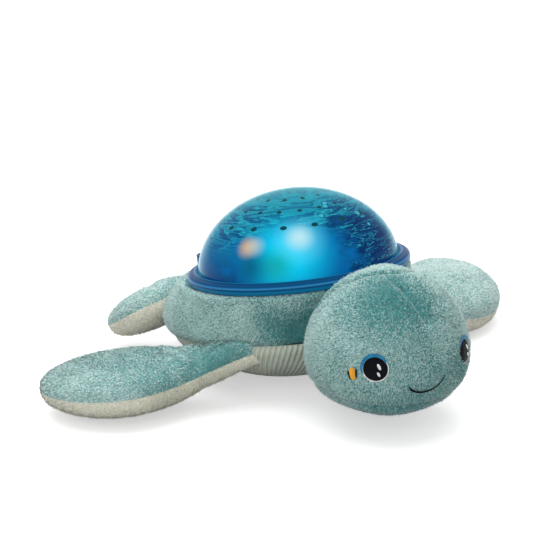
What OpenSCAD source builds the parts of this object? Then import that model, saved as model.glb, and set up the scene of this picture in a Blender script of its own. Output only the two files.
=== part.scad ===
// Plush sea turtle night light with a lift-out projector under a domed shell.
// Millimetres. The turtle faces -Y, +Z is up, and the origin is on the floor under its body.

/* [Projector placing] */
// Height of the rim plane's centre above the floor
rim_z = 69; // [67:0.5:72]
// Place of the projector's axis along the body
rim_y = -17; // [-20:1:-14]
// Tilt of the projector, front edge up, in degrees
rim_tilt = 11; // [8:0.5:13]

/* [Shell dome and rim] */
// Width of the bezel outside the dome's foot
rim_land = 7; // [6:0.25:8]
// Height of the bezel above the rim plane
rim_top = 3.5; // [3:0.25:4.5]
// Depth of the bezel flange under the rim plane
rim_drop = 3; // [2.5:0.25:3.5]
// Outer radius of the dome at its foot
dome_r = 61; // [60:0.25:61.5]
// Height of the dome above its gasket
dome_h = 47; // [44:0.5:52]
// Wall of the dome
dome_wall = 2.2; // [1.6:0.1:2.6]
// Thickness of the gasket under the dome
gasket_h = 0.8; // [0.5:0.1:1.2]
// Step in from the dome's foot to the image dome's foot
image_inset = 7; // [7:0.25:8]
// Height of the image dome above the deck
image_h = 51; // [48:0.5:53]
// Wall of the image dome
image_wall = 1.5; // [1:0.1:1.8]

/* [Housing] */
// Outer radius of the tub at its mouth
tub_r = 60; // [60:0.25:60.5]
// Outer radius of the tub at its floor
tub_floor_r = 50; // [50:0.25:51]
// Depth of the tub's floor under the rim plane
tub_depth = 42; // [42:0.5:44]
// Wall of the tub
tub_wall = 2.2; // [2:0.1:2.4]
// Depth of the deck's upper face under the rim plane
deck_depth = 12; // [12:0.25:12.5]
// Thickness of the deck
deck_t = 2.5; // [2:0.25:3]
// Radius of the screw circle that holds the deck
deck_screw_circle = 42; // [41:0.5:43]

/* [Wave drive] */
// Tooth module of the wave drive
tooth_module = 0.8; // [0.8:0.01:0.82]
// Gap between the idler wheel's teeth and the image dome
drive_gap = 0.3; // [0.2:0.05:0.6]
// Teeth of the large idler wheel
idler_teeth = 36; // [32:1:36]
// Teeth of the pinions
pinion_teeth = 12; // [12:1:12]
// Face width of the wave gear
wave_face = 4; // [3:0.25:4]
// Radius of the collar that the wave gear turns on
collar_r = 13.5; // [13:0.25:14]
// Radius of the idler's pin
idler_pin_r = 1.5; // [1.2:0.1:1.8]
// Radius of the motor can
motor_r = 7.5; // [6.5:0.25:7.5]
// Length of the motor can
motor_l = 17.5; // [14:0.5:18]

/* [Power and sound] */
// Radius of one cell
cell_r = 7.25; // [7:0.05:7.25]
// Length of one cell
cell_l = 50.5; // [49:0.1:50.6]
// Radius of the loudspeaker
speaker_r = 14; // [12:0.25:14]

/* [Buttons] */
// Radius of a button's cap
button_r = 4.5; // [4:0.1:4.8]
// Travel of a button
button_travel = 1; // [0.6:0.1:1]
// Spacing of the buttons
button_pitch = 14; // [13:0.25:14]

/* [Plush body] */
// Half width of the stuffed body
body_half_w = 72; // [71.5:0.5:76]
// Length of the stuffed body behind its widest line
body_rear_l = 75.5; // [75:0.5:80]
// Length of the stuffed body in front of its widest line
body_front_l = 84; // [82:0.5:88]
// Height of the body's widest line above the floor
body_mid_z = 38.5; // [37:0.5:40]
// Height of the tilted seam between the body and its belly panel, over the origin
belly_seam_z = 30; // [28:0.5:32]
// Thickness of the pocket's lining
lining_t = 1.2; // [0.8:0.1:1.6]

/* [Head] */
// Half width of the head
head_half_w = 48.5; // [45:0.5:52]
// Half length of the head
head_half_l = 49; // [46:0.5:52]
// Height of the head's widest line above the floor
head_mid_z = 44; // [41:0.5:46]
// Place of the head's centre along the body
head_y = -106; // [-112:1:-103]

/* [Flippers] */
// Length of a front flipper from its root inside the body
front_length = 128; // [122:0.5:134]
// Half width of a front flipper's blade
front_half_w = 33; // [29:0.5:35]
// Thickness of a front flipper's upper half
front_crown = 16; // [13:0.5:18]
// Backward sweep of the left front flipper, in degrees
left_sweep = 15.2; // [10:0.2:18]
// Droop of the left front flipper from root to tip, in degrees
left_droop = 5.6; // [4:0.2:7]
// Roll of the left front flipper about its length, in degrees
left_roll = 10.8; // [4:0.2:12]
// Backward sweep of the right front flipper, in degrees
right_sweep = 12.6; // [10:0.2:18]
// Droop of the right front flipper from root to tip, in degrees
right_droop = 4.1; // [3:0.2:6]
// Roll of the right front flipper about its length, in degrees
right_roll = -3.6; // [-5:0.2:4]
// Length of a rear flipper from its root inside the body
rear_length = 64; // [60:1:70]
// Half width of a rear flipper's blade
rear_half_w = 22.5; // [20:0.5:25]
// Thickness of a rear flipper's upper half
rear_crown = 12.5; // [11:0.5:14]

/* [Hidden] */

$fn = 72;
eps = 0.1;
teal = "#7fa8a2";
cream = "#d9cfba";
shell_blue = "#0d5f86";
housing_blue = "#2a6f93";

// Clearances: soft pieces beside each other, seated rigid pieces, running fits
soft_gap = 0.3;
seat_gap = 0.3;
run_gap = 0.06;

// Heights along the projector's own axis, from the rim plane
deck_top = -deck_depth;
deck_under = deck_top - deck_t;
tub_floor = -tub_depth;
tub_inside = tub_floor + tub_wall;
flange_under = -rim_drop;
straight_depth = deck_depth + 2;

// Radii that follow the dome and the tub
skirt_t = 1.9;
skirt_depth = 6;
skirt_r = tub_r - tub_wall - seat_gap;
tub_step = 1;
image_gap = 1.6;
rim_r = max(dome_r, tub_r + tub_step) + rim_land;
image_r = min(dome_r - image_inset, skirt_r - skirt_t - image_gap);

// Wave drive places: the wave gear takes the room that the idler leaves inside the image dome
tooth_tip = 0.95 * tooth_module;
mesh_gap = 0.05;
pinion_pitch_r = tooth_module * pinion_teeth / 2;
idler_pitch_r = tooth_module * idler_teeth / 2;
drive_r = image_r - image_wall - drive_gap - idler_pitch_r - tooth_tip - pinion_pitch_r - mesh_gap;
wave_teeth = floor(2 * drive_r / tooth_module);
wave_pitch_r = tooth_module * wave_teeth / 2;
pressure_angle = 25;
backlash = 0.1;
idler_u = wave_pitch_r + pinion_pitch_r + mesh_gap;
motor_v = idler_pitch_r + pinion_pitch_r + mesh_gap;
idler_wheel_t = 2.5;
idler_wheel_w = deck_top + 1;
wave_gear_w = idler_wheel_w + idler_wheel_t + 1.5;
wave_web_t = 1.5;
wave_rim_r = wave_pitch_r - 6;
wave_hub_top = wave_gear_w + wave_face + 1;
collar_top = 1.5;
collar_wall = 2;

// Battery bay, seen from above, and what fits in it
bay_u = -10;
cell_pitch = 2 * cell_r + 0.4;
bay_half_u = 1.5 * cell_pitch + 0.65;
bay_half_v = cell_l / 2 + 3.25;
bay_wall = 1.8;
door_t = 1.6;
door_lip = 1.5;
cell_w = tub_floor + door_t + cell_r + 0.1;
bay_roof = cell_w + cell_r + 1.5;
door_screw_v = bay_half_v + 6;

// Loudspeaker, main board and switches
speaker_place = [29.5, -8];
board_size = [44, 30, 1.6];
board_w = bay_roof + bay_wall + 2.5;
tab_v = rim_r + 7;
tab_end_r = 8;
tab_under = -9;
tab_wall = 1.8;
plate_t = 2;
cover_t = 1.6;
switch_board_t = 1.6;
switch_board_l = 10;
switch_size = 6;
switch_h = 3.2;
stud_r = 1.7;
stud_h = 0.8;
switch_top = tab_under + switch_board_t + switch_h;
post_r = 2.2;
post_h = 6;
panel_screw_r = 0.9;
panel_screw_l = 4;
panel_head_h = 0.8;

// Sine-eased step from 0 to 1
function ease(s) = (1 - cos(180 * max(0, min(1, s)))) / 2;
function lerp(a, b, s) = a + (b - a) * s;
function backwards(list) = [for (i = [len(list) - 1:-1:0]) list[i]];

// Quarter ellipse from the foot radius up to the axis
function dome_arc(r, h, foot, n = 36) =
    [for (i = [0:n]) [i == n ? 0 : r * cos(90 * i / n), foot + h * sin(90 * i / n)]];

// Places a piece in the tilted projector
module in_projector() {
    translate([0, rim_y, rim_z]) rotate([-rim_tilt, 0, 0]) children();
}

module turned(points) {
    rotate_extrude($fn = 96) polygon(points);
}

module tube(outer_r, inner_r, low, high) {
    translate([0, 0, low]) difference() {
        cylinder(r = outer_r, h = high - low);
        translate([0, 0, -eps]) cylinder(r = inner_r, h = high - low + 2 * eps);
    }
}

module slab(low, high) {
    translate([0, 0, low]) linear_extrude(high - low) children();
}

// Closed skin over rings of points, with a fan on each end ring's middle
module skin(rings) {
    n = len(rings[0]);
    m = len(rings);
    points = concat([for (r = rings) each r], [middle(rings[0]), middle(rings[m - 1])]);
    faces = concat(
        [for (j = [0:m - 2], i = [0:n - 1], f = [0, 1])
            let (a = j * n + i, b = j * n + (i + 1) % n)
            f == 0 ? [a, a + n, b] : [b, a + n, b + n]],
        [for (i = [0:n - 1]) [m * n, i, (i + 1) % n]],
        [for (i = [0:n - 1]) [m * n + 1, (m - 1) * n + (i + 1) % n, (m - 1) * n + i]]);
    polyhedron(points, faces);
}

function middle(ring) = [for (k = [0:2]) sum_of([for (p = ring) p[k]]) / len(ring)];
function sum_of(list, i = 0) = i == len(list) ? 0 : list[i] + sum_of(list, i + 1);

// Plush body: a stuffed bun whose shoulder leans forward and gathers round the rim's circle
body_rise = 70;
body_sag = body_mid_z + 4;
body_sides = 44;
body_rings = 16;
shoulder_t = 28;
collar_drop = rim_drop + soft_gap + 0.1;
shoulder_r = rim_r + 3;
function body_ring(t, grow) =
    let (up = t > 0, r = pow(cos(t), up ? 0.4 : 1.5), k = 1 - cos(90 * max(0, min(1, t / shoulder_t))),
         z = body_mid_z + (up ? body_rise : body_sag) * sin(t))
    [for (i = [0:body_sides - 1])
        let (a = 360 * i / body_sides,
             long = sin(a) > 0 ? body_rear_l : body_front_l,
             x = (lerp(body_half_w, shoulder_r, k) * r + grow) * cos(a),
             y = k * rim_y + (lerp(long, shoulder_r, k) * r + grow) * sin(a))
        [x, y, z + tan(rim_tilt) * (rim_y - y) * max(0, z) / rim_z]];

module body_form(grow = 0) {
    skin([for (j = [0:body_rings]) body_ring(lerp(-84, 68, j / body_rings), grow)]);
}

// Outline of the tub's outside, from the middle of its floor to its mouth
corner_r = 3;
function tub_outline(grow) = concat(
    [[0, tub_floor - grow]],
    [for (i = [0:6]) let (a = 90 * i / 6)
        [tub_floor_r + grow - corner_r * (1 - sin(a)), tub_floor - grow + corner_r * (1 - cos(a))]],
    [[tub_r + grow, -straight_depth - grow]]);

// Space that the projector takes in the plush: tub with lining, flange, and the switch tab
module projector_room() {
    in_projector() {
        turned(concat(tub_outline(soft_gap + lining_t),
            [[tub_r + soft_gap + lining_t, 0], [0, 0]]));
        translate([0, 0, flange_under - soft_gap]) cylinder(r = rim_r + soft_gap, h = 60);
        slab(tab_under - cover_t - soft_gap, 40) tab_plan(soft_gap);
        elastic_ring();
    }
}

module floor_cut() {
    translate([-300, -300, -100]) cube([600, 600, 100]);
}

module above_seam() {
    translate([0, 0, belly_seam_z]) rotate([-rim_tilt, 0, 0]) translate([-300, -300, 0]) cube([600, 600, 200]);
}

module body_cover() {
    color(teal) difference() {
        intersection() {
            body_form();
            above_seam();
            in_projector() translate([-150, -150, -150 - collar_drop]) cube([300, 300, 150]);
        }
        projector_room();
    }
}

module belly_panel() {
    color(cream) difference() {
        body_form();
        above_seam();
        floor_cut();
        projector_room();
    }
}

// Head: domed crown over a wide soft jaw
head_sides = 32;
head_rings = 13;
head_rise = 50;
head_sag = 31.5;
function head_ring(t, grow) =
    let (r = pow(cos(t), t > 0 ? 1.08 : 0.67))
    [for (i = [0:head_sides - 1])
        let (a = 360 * i / head_sides)
        [(head_half_w * r + grow) * cos(a), head_y + (head_half_l * r + grow) * sin(a),
         head_mid_z + (t > 0 ? head_rise : head_sag) * sin(t)]];

module head_form(grow = 0) {
    skin([for (j = [0:head_rings]) head_ring(lerp(-84, 84, j / head_rings), grow)]);
}

module head() {
    color(teal) difference() {
        head_form();
        body_form(soft_gap);
        projector_room();
    }
}

// Flippers: two panels sewn along a flat edge seam, the blade widening to a round tip
blade_sides = 10;
blade_rings = 14;
function blade_tip(s, from) = s < from ? 1 : sqrt(max(0.0016, 1 - pow((s - from) / (1 - from), 2)));
function blade_ring(s, length, root_w, half_w, thick, bow) =
    let (w = lerp(root_w, half_w, ease(s / 0.7)) * blade_tip(s, 0.68),
         t = thick * lerp(0.5, 1, ease(s / 0.55)) * pow(blade_tip(s, 0.6), 0.8),
         y = bow * s * s)
    [for (k = [0:blade_sides])
        let (a = 180 * k / blade_sides)
        [length * s, y + w * cos(a), t * pow(max(0, sin(a)), 0.75)]];

module blade(length, root_w, half_w, thick, bow) {
    skin([for (j = [0:blade_rings])
        blade_ring(ease(j / blade_rings * 0.5 + 0.5) * 2 - 1, length, root_w, half_w, thick, bow)]);
}

module flipper_half(length, root_w, half_w, thick, bow, upper) {
    if (upper)
        blade(length, root_w, half_w, thick, bow);
    else
        mirror([0, 0, 1]) blade(length, root_w, half_w, thick, bow);
}

front_root = [45, -34.4, 26.7];
front_root_w = 4;
front_bow = 16.5;
front_under = 1.1;
module front_flipper(upper, sweep, droop, roll) {
    crown = front_crown * (upper ? 1 : front_under);
    color(upper ? teal : cream) difference() {
        translate(front_root) rotate([0, 0, sweep]) rotate([0, droop, 0]) rotate([roll, 0, 0])
            flipper_half(front_length, front_root_w, front_half_w, crown, front_bow, upper);
        body_form(soft_gap);
        head_form(soft_gap);
        floor_cut();
    }
}

module left_front(upper) {
    front_flipper(upper, left_sweep, left_droop, left_roll);
}

module right_front(upper) {
    mirror([1, 0, 0]) front_flipper(upper, right_sweep, right_droop, right_roll);
}

rear_root = [20.5, 48, 44];
rear_root_w = 18;
rear_heading = 8.5;
rear_droop = 13.3;
rear_roll = -30.5;
rear_bow = 26;
rear_under = 1.1;
module rear_flipper(upper) {
    crown = rear_crown * (upper ? 1 : rear_under);
    color(upper ? teal : cream) difference() {
        translate(rear_root) rotate([0, 0, rear_heading]) rotate([0, rear_droop, 0])
            rotate([rear_roll, 0, 0])
            flipper_half(rear_length, rear_root_w, rear_half_w, crown, rear_bow, upper);
        body_form(soft_gap);
        floor_cut();
    }
}

// Lining of the pocket and the elastic in its mouth
lining_top = tab_under - cover_t - 2 * soft_gap;
module pocket_lining() {
    color("lightsteelblue") in_projector() turned(concat(
        tub_outline(soft_gap + lining_t), [[tub_r + soft_gap + lining_t, lining_top],
            [tub_r + soft_gap, lining_top]], backwards(tub_outline(soft_gap))));
}

elastic_t = 2.4;
elastic_w = 3.2;
module elastic_ring() {
    tube(tub_r + soft_gap + lining_t + elastic_t, tub_r + soft_gap + lining_t - eps,
        flange_under - soft_gap - elastic_w, flange_under - soft_gap);
}

module opening_elastic() {
    color("white") in_projector() difference() {
        tube(tub_r + soft_gap + lining_t + elastic_t, tub_r + soft_gap,
            flange_under - soft_gap - elastic_w, flange_under - soft_gap);
        slab(tab_under - cover_t - soft_gap, 0) tab_plan(soft_gap);
    }
}

// Outer dome, its gasket and the rim that holds them
module dome_shell() {
    color(shell_blue, 0.6) in_projector() turned(concat(
        dome_arc(dome_r, dome_h, gasket_h),
        backwards(dome_arc(dome_r - dome_wall, dome_h - dome_wall, gasket_h))));
}

module dome_gasket() {
    color("dimgray") in_projector() tube(dome_r, dome_r - dome_wall - 0.6, 0, gasket_h);
}

module rim_ring() {
    lip = (rim_top + rim_drop) / 2;
    seat_r = dome_r + seat_gap;
    bore_r = min(dome_r - dome_wall - 2.4, skirt_r - skirt_t);
    turned(concat(
        [[bore_r, flange_under]],
        [for (i = [0:10]) let (a = -90 + 180 * i / 10)
            [rim_r - lip + lip * cos(a), rim_top - lip + lip * sin(a)]],
        [[seat_r, rim_top], [seat_r, 0], [bore_r, 0]]));
    tube(skirt_r, skirt_r - skirt_t, flange_under - skirt_depth, flange_under + eps);
}

// Plan of the switch tab behind the dome
module tab_plan(grow = 0) {
    half = button_pitch + 2;
    difference() {
        union() {
            for (side = [-1, 1])
                translate([side * half, tab_v]) circle(r = tab_end_r + grow);
            translate([-half - tab_end_r - grow, tub_r])
                square([2 * (half + tab_end_r + grow), tab_v - tub_r]);
            translate([-half, tub_r]) square([2 * half, tab_v - tub_r + tab_end_r + grow]);
        }
        circle(r = tub_r + seat_gap - grow);
    }
}

module tab_pocket_plan() {
    half = button_pitch + 2;
    difference() {
        union() {
            for (side = [-1, 1])
                translate([side * half, tab_v]) circle(r = tab_end_r - tab_wall);
            translate([-half - tab_end_r + tab_wall, tab_v - 7])
                square([2 * (half + tab_end_r - tab_wall), 7]);
            translate([-half, tab_v - 7]) square([2 * half, 7 + tab_end_r - tab_wall]);
        }
        circle(r = tub_r + seat_gap + tab_wall);
    }
}

module at_buttons() {
    for (i = [-1:1]) translate([i * button_pitch, tab_v, 0]) children();
}

module rim_bezel() {
    color(shell_blue) in_projector() difference() {
        union() {
            difference() {
                union() {
                    rim_ring();
                    slab(tab_under, rim_top) difference() {
                        tab_plan();
                        circle(r = rim_r - 4);
                    }
                    slab(tab_under, flange_under + eps) tab_plan();
                }
                slab(tab_under - eps, rim_top - plate_t) tab_pocket_plan();
            }
            at_panel_screws() translate([0, 0, tab_under]) cylinder(r = post_r, h = post_h);
        }
        at_buttons() cylinder(r = button_r + run_gap, h = rim_top + 1);
        at_panel_screws() translate([0, 0, tab_under - eps])
            cylinder(r = panel_screw_r + 0.02, h = post_h - 0.5, $fn = 24);
    }
}

// Inner dome on the deck: a clear shell that carries the printed pictures
module image_dome() {
    color("teal", 0.7) in_projector() turned(concat(
        dome_arc(image_r, image_h, deck_top, 24),
        backwards(dome_arc(image_r - image_wall, image_h - image_wall, deck_top, 24))));
}

// Spur gear outline with involute flanks
function inv_angle(r, base_r) = let (a = acos(min(1, base_r / r))) tan(a) * 180 / PI - a;
module gear_plan(teeth, phase = 0) {
    pitch_r = tooth_module * teeth / 2;
    base_r = pitch_r * cos(pressure_angle);
    tip_r = pitch_r + tooth_tip;
    root_r = pitch_r - 1.25 * tooth_module;
    half_tooth = 90 / teeth - backlash / pitch_r * 180 / PI;
    flank_r = [root_r, max(root_r + eps, base_r), pitch_r, tip_r];
    flank = [for (r = flank_r) half_tooth + inv_angle(pitch_r, base_r) - inv_angle(max(r, base_r), base_r)];
    polygon([for (i = [0:teeth - 1], k = [0:7])
        let (j = k < 4 ? k : 7 - k, a = phase + 360 * i / teeth + (k < 4 ? -1 : 1) * flank[j])
        flank_r[j] * [cos(a), sin(a)]]);
}

module wave_gear() {
    color("white") in_projector() {
        slab(wave_gear_w, wave_gear_w + wave_face) difference() {
            gear_plan(wave_teeth);
            circle(r = wave_rim_r);
        }
        turned([[collar_r + run_gap, deck_top + seat_gap], [collar_r + 3.5, deck_top + seat_gap],
            [collar_r + 3.5, wave_gear_w + 1], [wave_rim_r + 0.5, wave_gear_w + 1],
            [wave_rim_r + 0.5, wave_gear_w + 1 + wave_web_t], [collar_r + 3.5, wave_gear_w + 1 + wave_web_t],
            [collar_r + 3.5, wave_hub_top], [collar_r + run_gap, wave_hub_top]]);
    }
}

// Clear rippled disc on a short wall, standing on the wave gear's web
ripple_h = 0.5;
wave_lens_top = 7.5;
module wave_lens() {
    foot = wave_gear_w + 1 + wave_web_t;
    outer = wave_rim_r - 0.2;
    wall = 1.3;
    n = 30;
    color("lightcyan", 0.6) in_projector() turned(concat(
        [[outer - wall, foot], [outer, foot]],
        [for (i = [0:n]) let (r = outer * (1 - i / n))
            [i == n ? 0 : r, wave_lens_top + ripple_h * cos(360 * 5 * (1 - i / n))]],
        [[0, wave_lens_top - 2], [outer - wall, wave_lens_top - 2]]));
}

module idler_gear() {
    hub_r = idler_pin_r + 1.5;
    color("gold") in_projector() translate([idler_u, 0, 0]) difference() {
        union() {
            slab(idler_wheel_w, idler_wheel_w + idler_wheel_t) gear_plan(idler_teeth);
            slab(idler_wheel_w + idler_wheel_t - eps, wave_gear_w + wave_face)
                gear_plan(pinion_teeth, 180 / pinion_teeth);
            translate([0, 0, deck_top + seat_gap]) cylinder(r = hub_r, h = 1);
        }
        translate([0, 0, deck_top]) cylinder(r = idler_pin_r + run_gap, h = 20);
    }
}

module idler_pin() {
    head_w = wave_gear_w + wave_face + seat_gap;
    color("silver") in_projector() translate([idler_u, 0, 0]) {
        translate([0, 0, deck_under]) cylinder(r = idler_pin_r, h = head_w - deck_under + eps);
        translate([0, 0, head_w]) cylinder(r = idler_pin_r + 0.9, h = 0.8);
    }
}

// Motor under the deck, with its boss through it, and the pinion on its shaft
shaft_r = 1;
boss_r = 2.6;
shaft_depth = 3;
module motor() {
    color("silver") in_projector() translate([idler_u, motor_v, 0]) difference() {
        union() {
            translate([0, 0, deck_under - motor_l]) cylinder(r = motor_r, h = motor_l);
            translate([0, 0, deck_under - eps]) cylinder(r = boss_r, h = deck_t - 0.5 + eps);
        }
        translate([0, 0, deck_under - shaft_depth]) cylinder(r = shaft_r + run_gap, h = 10);
    }
}

module motor_pinion() {
    color("gold") in_projector() translate([idler_u, motor_v, 0]) {
        slab(idler_wheel_w - 0.2, idler_wheel_w + idler_wheel_t + 0.3)
            gear_plan(pinion_teeth, (180 + 90 * idler_teeth) / pinion_teeth - 90);
        translate([0, 0, deck_under - shaft_depth + seat_gap])
            cylinder(r = shaft_r, h = shaft_depth + deck_t + 1);
    }
}

screw_angles = [60, 120, 240, 300];
screw_r = 1.4;
module at_deck_screws() {
    for (a = screw_angles) rotate([0, 0, a]) translate([deck_screw_circle, 0, 0]) children();
}

module chassis_deck() {
    deck_r = skirt_r - seat_gap - skirt_t - 0.2;
    color("whitesmoke") in_projector() difference() {
        union() {
            translate([0, 0, deck_under]) cylinder(r = deck_r, h = deck_t);
            tube(collar_r, collar_r - collar_wall, deck_top - eps, collar_top);
        }
        translate([idler_u, motor_v, deck_under - eps]) cylinder(r = boss_r + seat_gap, h = deck_t + 1);
        translate([idler_u, 0, deck_under - eps]) cylinder(r = idler_pin_r + 0.02, h = deck_t + 1);
        translate([0, 0, deck_under - eps]) cylinder(r = 3, h = deck_t + 1);
        at_deck_screws() translate([0, 0, deck_under - eps]) cylinder(r = screw_r + 0.2, h = deck_t + 1);
    }
}

screw_l = 9;
module deck_screws() {
    color("silver") in_projector() at_deck_screws() screw(deck_top, screw_l + deck_t);
}

// Pan-head screw whose head rests on height top and whose shank runs down
module screw(top, length) {
    translate([0, 0, top - length]) cylinder(r = screw_r, h = length + eps, $fn = 24);
    translate([0, 0, top]) cylinder(r = 2 * screw_r, h = 1.6, $fn = 24);
}

// Lamp: round board, three emitters and the lens that spreads their light
led_count = 3;
led_size = 4;
module led_board() {
    color("darkgreen") in_projector() translate([0, 0, deck_top])
        cylinder(r = collar_r - collar_wall - seat_gap, h = 1.6);
}

module led_emitters() {
    color("gold") in_projector() for (i = [0:led_count - 1])
        rotate([0, 0, 360 * i / led_count]) translate([5 - led_size / 2, -led_size / 2, deck_top + 1.6])
            cube([led_size, led_size, 1.4]);
}

module collimator_lens() {
    flange_r = collar_r + 2;
    body_r = collar_r - collar_wall - seat_gap;
    n = 8;
    color("white", 0.5) in_projector() turned(concat(
        [[0, deck_top + 6], [body_r - 2, deck_top + 6], [body_r, collar_top], [flange_r, collar_top],
            [flange_r, collar_top + 1.1]],
        [for (i = [0:n]) let (a = 90 * i / n)
            [i == n ? 0 : body_r * cos(a), collar_top + 1.1 + 2 * sin(a)]]));
}

// Tub with its ledge, screw bosses, battery bay and loudspeaker grille
boss_outer_r = 3.5;
module bay_box(grow, low, high) {
    translate([bay_u - bay_half_u - grow, -bay_half_v - grow, low])
        cube([2 * (bay_half_u + grow), 2 * (bay_half_v + grow), high - low]);
}

module door_plan(grow = 0) {
    translate([bay_u - bay_half_u - door_lip - grow, -bay_half_v - door_lip - grow])
        square([2 * (bay_half_u + door_lip + grow), 2 * (bay_half_v + door_lip + grow)]);
    translate([bay_u, door_screw_v]) circle(r = 5 + grow);
}

module base_tub() {
    color(housing_blue) in_projector() difference() {
        union() {
            turned(concat(tub_outline(0), [[tub_r, flange_under], [tub_r - tub_wall, flange_under]],
                backwards([for (p = tub_outline(0)) [max(0, p[0] - tub_wall), p[1] + tub_wall]])));
            tube(tub_r - tub_wall + eps, tub_r - tub_wall - 6, deck_under - 2.5, deck_under);
            at_deck_screws() translate([0, 0, tub_inside - eps])
                cylinder(r = boss_outer_r, h = deck_under - tub_inside + eps);
            bay_box(bay_wall, tub_inside - eps, bay_roof + bay_wall);
            translate([bay_u, door_screw_v, tub_inside - eps]) cylinder(r = boss_outer_r, h = 12);
            for (u = [-1, 1], v = [-1, 1])
                translate([bay_u + u * (board_size[0] / 2 - 4), v * (board_size[1] / 2 - 4), bay_roof + eps])
                    cylinder(r = 2, h = board_w - bay_roof - eps);
        }
        bay_box(0, tub_floor - eps, bay_roof);
        slab(tub_floor - eps, tub_floor + door_t) door_plan(0.2);
        at_deck_screws() translate([0, 0, deck_under - screw_l - 1]) cylinder(r = screw_r + 0.02, h = 20);
        translate([bay_u, door_screw_v, tub_floor]) cylinder(r = screw_r + 0.02, h = 12);
        translate([speaker_place[0], speaker_place[1], tub_floor - eps]) {
            cylinder(r = 1.2, h = 5, $fn = 24);
            for (ring = [1, 2], i = [0:6 * ring - 1])
                rotate([0, 0, 60 * i / ring]) translate([4 * ring, 0, 0]) cylinder(r = 1.2, h = 5, $fn = 24);
        }
    }
}

module battery_door() {
    color(housing_blue) in_projector() difference() {
        slab(tub_floor, tub_floor + door_t) door_plan();
        translate([bay_u, door_screw_v, tub_floor - eps]) cylinder(r = screw_r + 0.2, h = 5);
        translate([bay_u, door_screw_v, tub_floor - eps]) cylinder(r = 3.2, h = eps + 0.8);
    }
}

module door_screw() {
    color("silver") in_projector() translate([bay_u, door_screw_v, 0]) {
        translate([0, 0, tub_floor + 0.4]) cylinder(r = screw_r, h = 9, $fn = 24);
        translate([0, 0, tub_floor]) cylinder(r = 2 * screw_r, h = 0.8, $fn = 24);
    }
}

module at_cells() {
    for (i = [-1:1]) translate([bay_u + i * cell_pitch, 0, cell_w])
        rotate([0, 0, i == 0 ? 180 : 0]) children();
}

module battery_cells() {
    nub_l = 1.2;
    color("dimgray") in_projector() at_cells() rotate([90, 0, 0]) {
        translate([0, 0, -cell_l / 2]) cylinder(r = cell_r, h = cell_l - nub_l);
        translate([0, 0, cell_l / 2 - nub_l - eps]) cylinder(r = 2.7, h = nub_l + eps);
    }
}

module battery_contacts() {
    gap = bay_half_v - cell_l / 2;
    plate = 0.6;
    color("silver") in_projector() at_cells() for (side = [-1, 1])
        rotate([side * 90, 0, 0]) translate([0, 0, cell_l / 2]) {
            translate([-4, -4, gap - plate]) cube([8, 8, plate]);
            translate([0, 0, eps]) cylinder(r1 = 2, r2 = 3, h = gap - plate);
        }
}

module speaker() {
    frame_h = 3;
    depth = 9;
    color("#303030") in_projector() translate([speaker_place[0], speaker_place[1], tub_inside])
        turned([[speaker_r - 2, 0], [speaker_r, 0], [speaker_r, frame_h], [speaker_r / 2 + 1, depth - 3],
            [speaker_r / 2 + 1, depth], [0, depth], [0, 3.5], [speaker_r - 3, 1.2]]);
}

module main_board() {
    color("darkgreen") in_projector() {
        translate([bay_u - board_size[0] / 2, -board_size[1] / 2, board_w]) cube(board_size);
        translate([bay_u - 6, -4, board_w + board_size[2] - eps]) cube([12, 8, 1.2 + eps]);
    }
}

// Switches under the tab's plate
module switch_board() {
    color("darkgreen") in_projector() translate([-button_pitch - 3.5, tab_v - switch_board_l / 2, tab_under])
        cube([2 * button_pitch + 7, switch_board_l, switch_board_t]);
}

module tact_switches() {
    color("#303030") in_projector() at_buttons() {
        translate([-switch_size / 2, -switch_size / 2, tab_under + switch_board_t])
            cube([switch_size, switch_size, switch_h]);
        translate([0, 0, switch_top - eps]) cylinder(r = stud_r, h = stud_h + eps, $fn = 24);
    }
}

module at_panel_screws() {
    for (side = [-1, 1]) translate([side * (button_pitch + tab_end_r - 1.4), tab_v, 0]) children();
}

module panel_cover() {
    color(housing_blue) in_projector() difference() {
        slab(tab_under - cover_t, tab_under) tab_plan();
        at_panel_screws() translate([0, 0, tab_under - cover_t - eps]) {
            cylinder(r = panel_screw_r + 0.1, h = 5, $fn = 24);
            cylinder(r = 2 * panel_screw_r + 0.2, h = panel_head_h + eps, $fn = 24);
        }
    }
}

module panel_screws() {
    color("silver") in_projector() at_panel_screws() translate([0, 0, tab_under - cover_t]) {
        cylinder(r = 2 * panel_screw_r, h = panel_head_h, $fn = 24);
        translate([0, 0, panel_head_h / 2])
            cylinder(r = panel_screw_r, h = cover_t + panel_screw_l, $fn = 24);
    }
}

// Push button: cap through the plate, stop flange under it, stem above the switch
module push_button(place, tint) {
    under_plate = rim_top - plate_t - seat_gap;
    flange_t = 0.9;
    stem_foot = switch_top + stud_h + button_travel + 0.2;
    color(tint) in_projector() translate([place * button_pitch, tab_v, 0]) {
        translate([0, 0, under_plate - flange_t])
            cylinder(r = button_r, h = rim_top + 2 - under_plate + flange_t);
        translate([0, 0, under_plate - flange_t]) cylinder(r = button_r + 0.9, h = flange_t);
        translate([0, 0, stem_foot]) cylinder(r = 1.5, h = under_plate - flange_t - stem_foot + eps);
    }
}

module button_light() { push_button(-1, "white"); }
module button_sound() { push_button(0, "white"); }
module button_timer() { push_button(1, "white"); }

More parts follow.
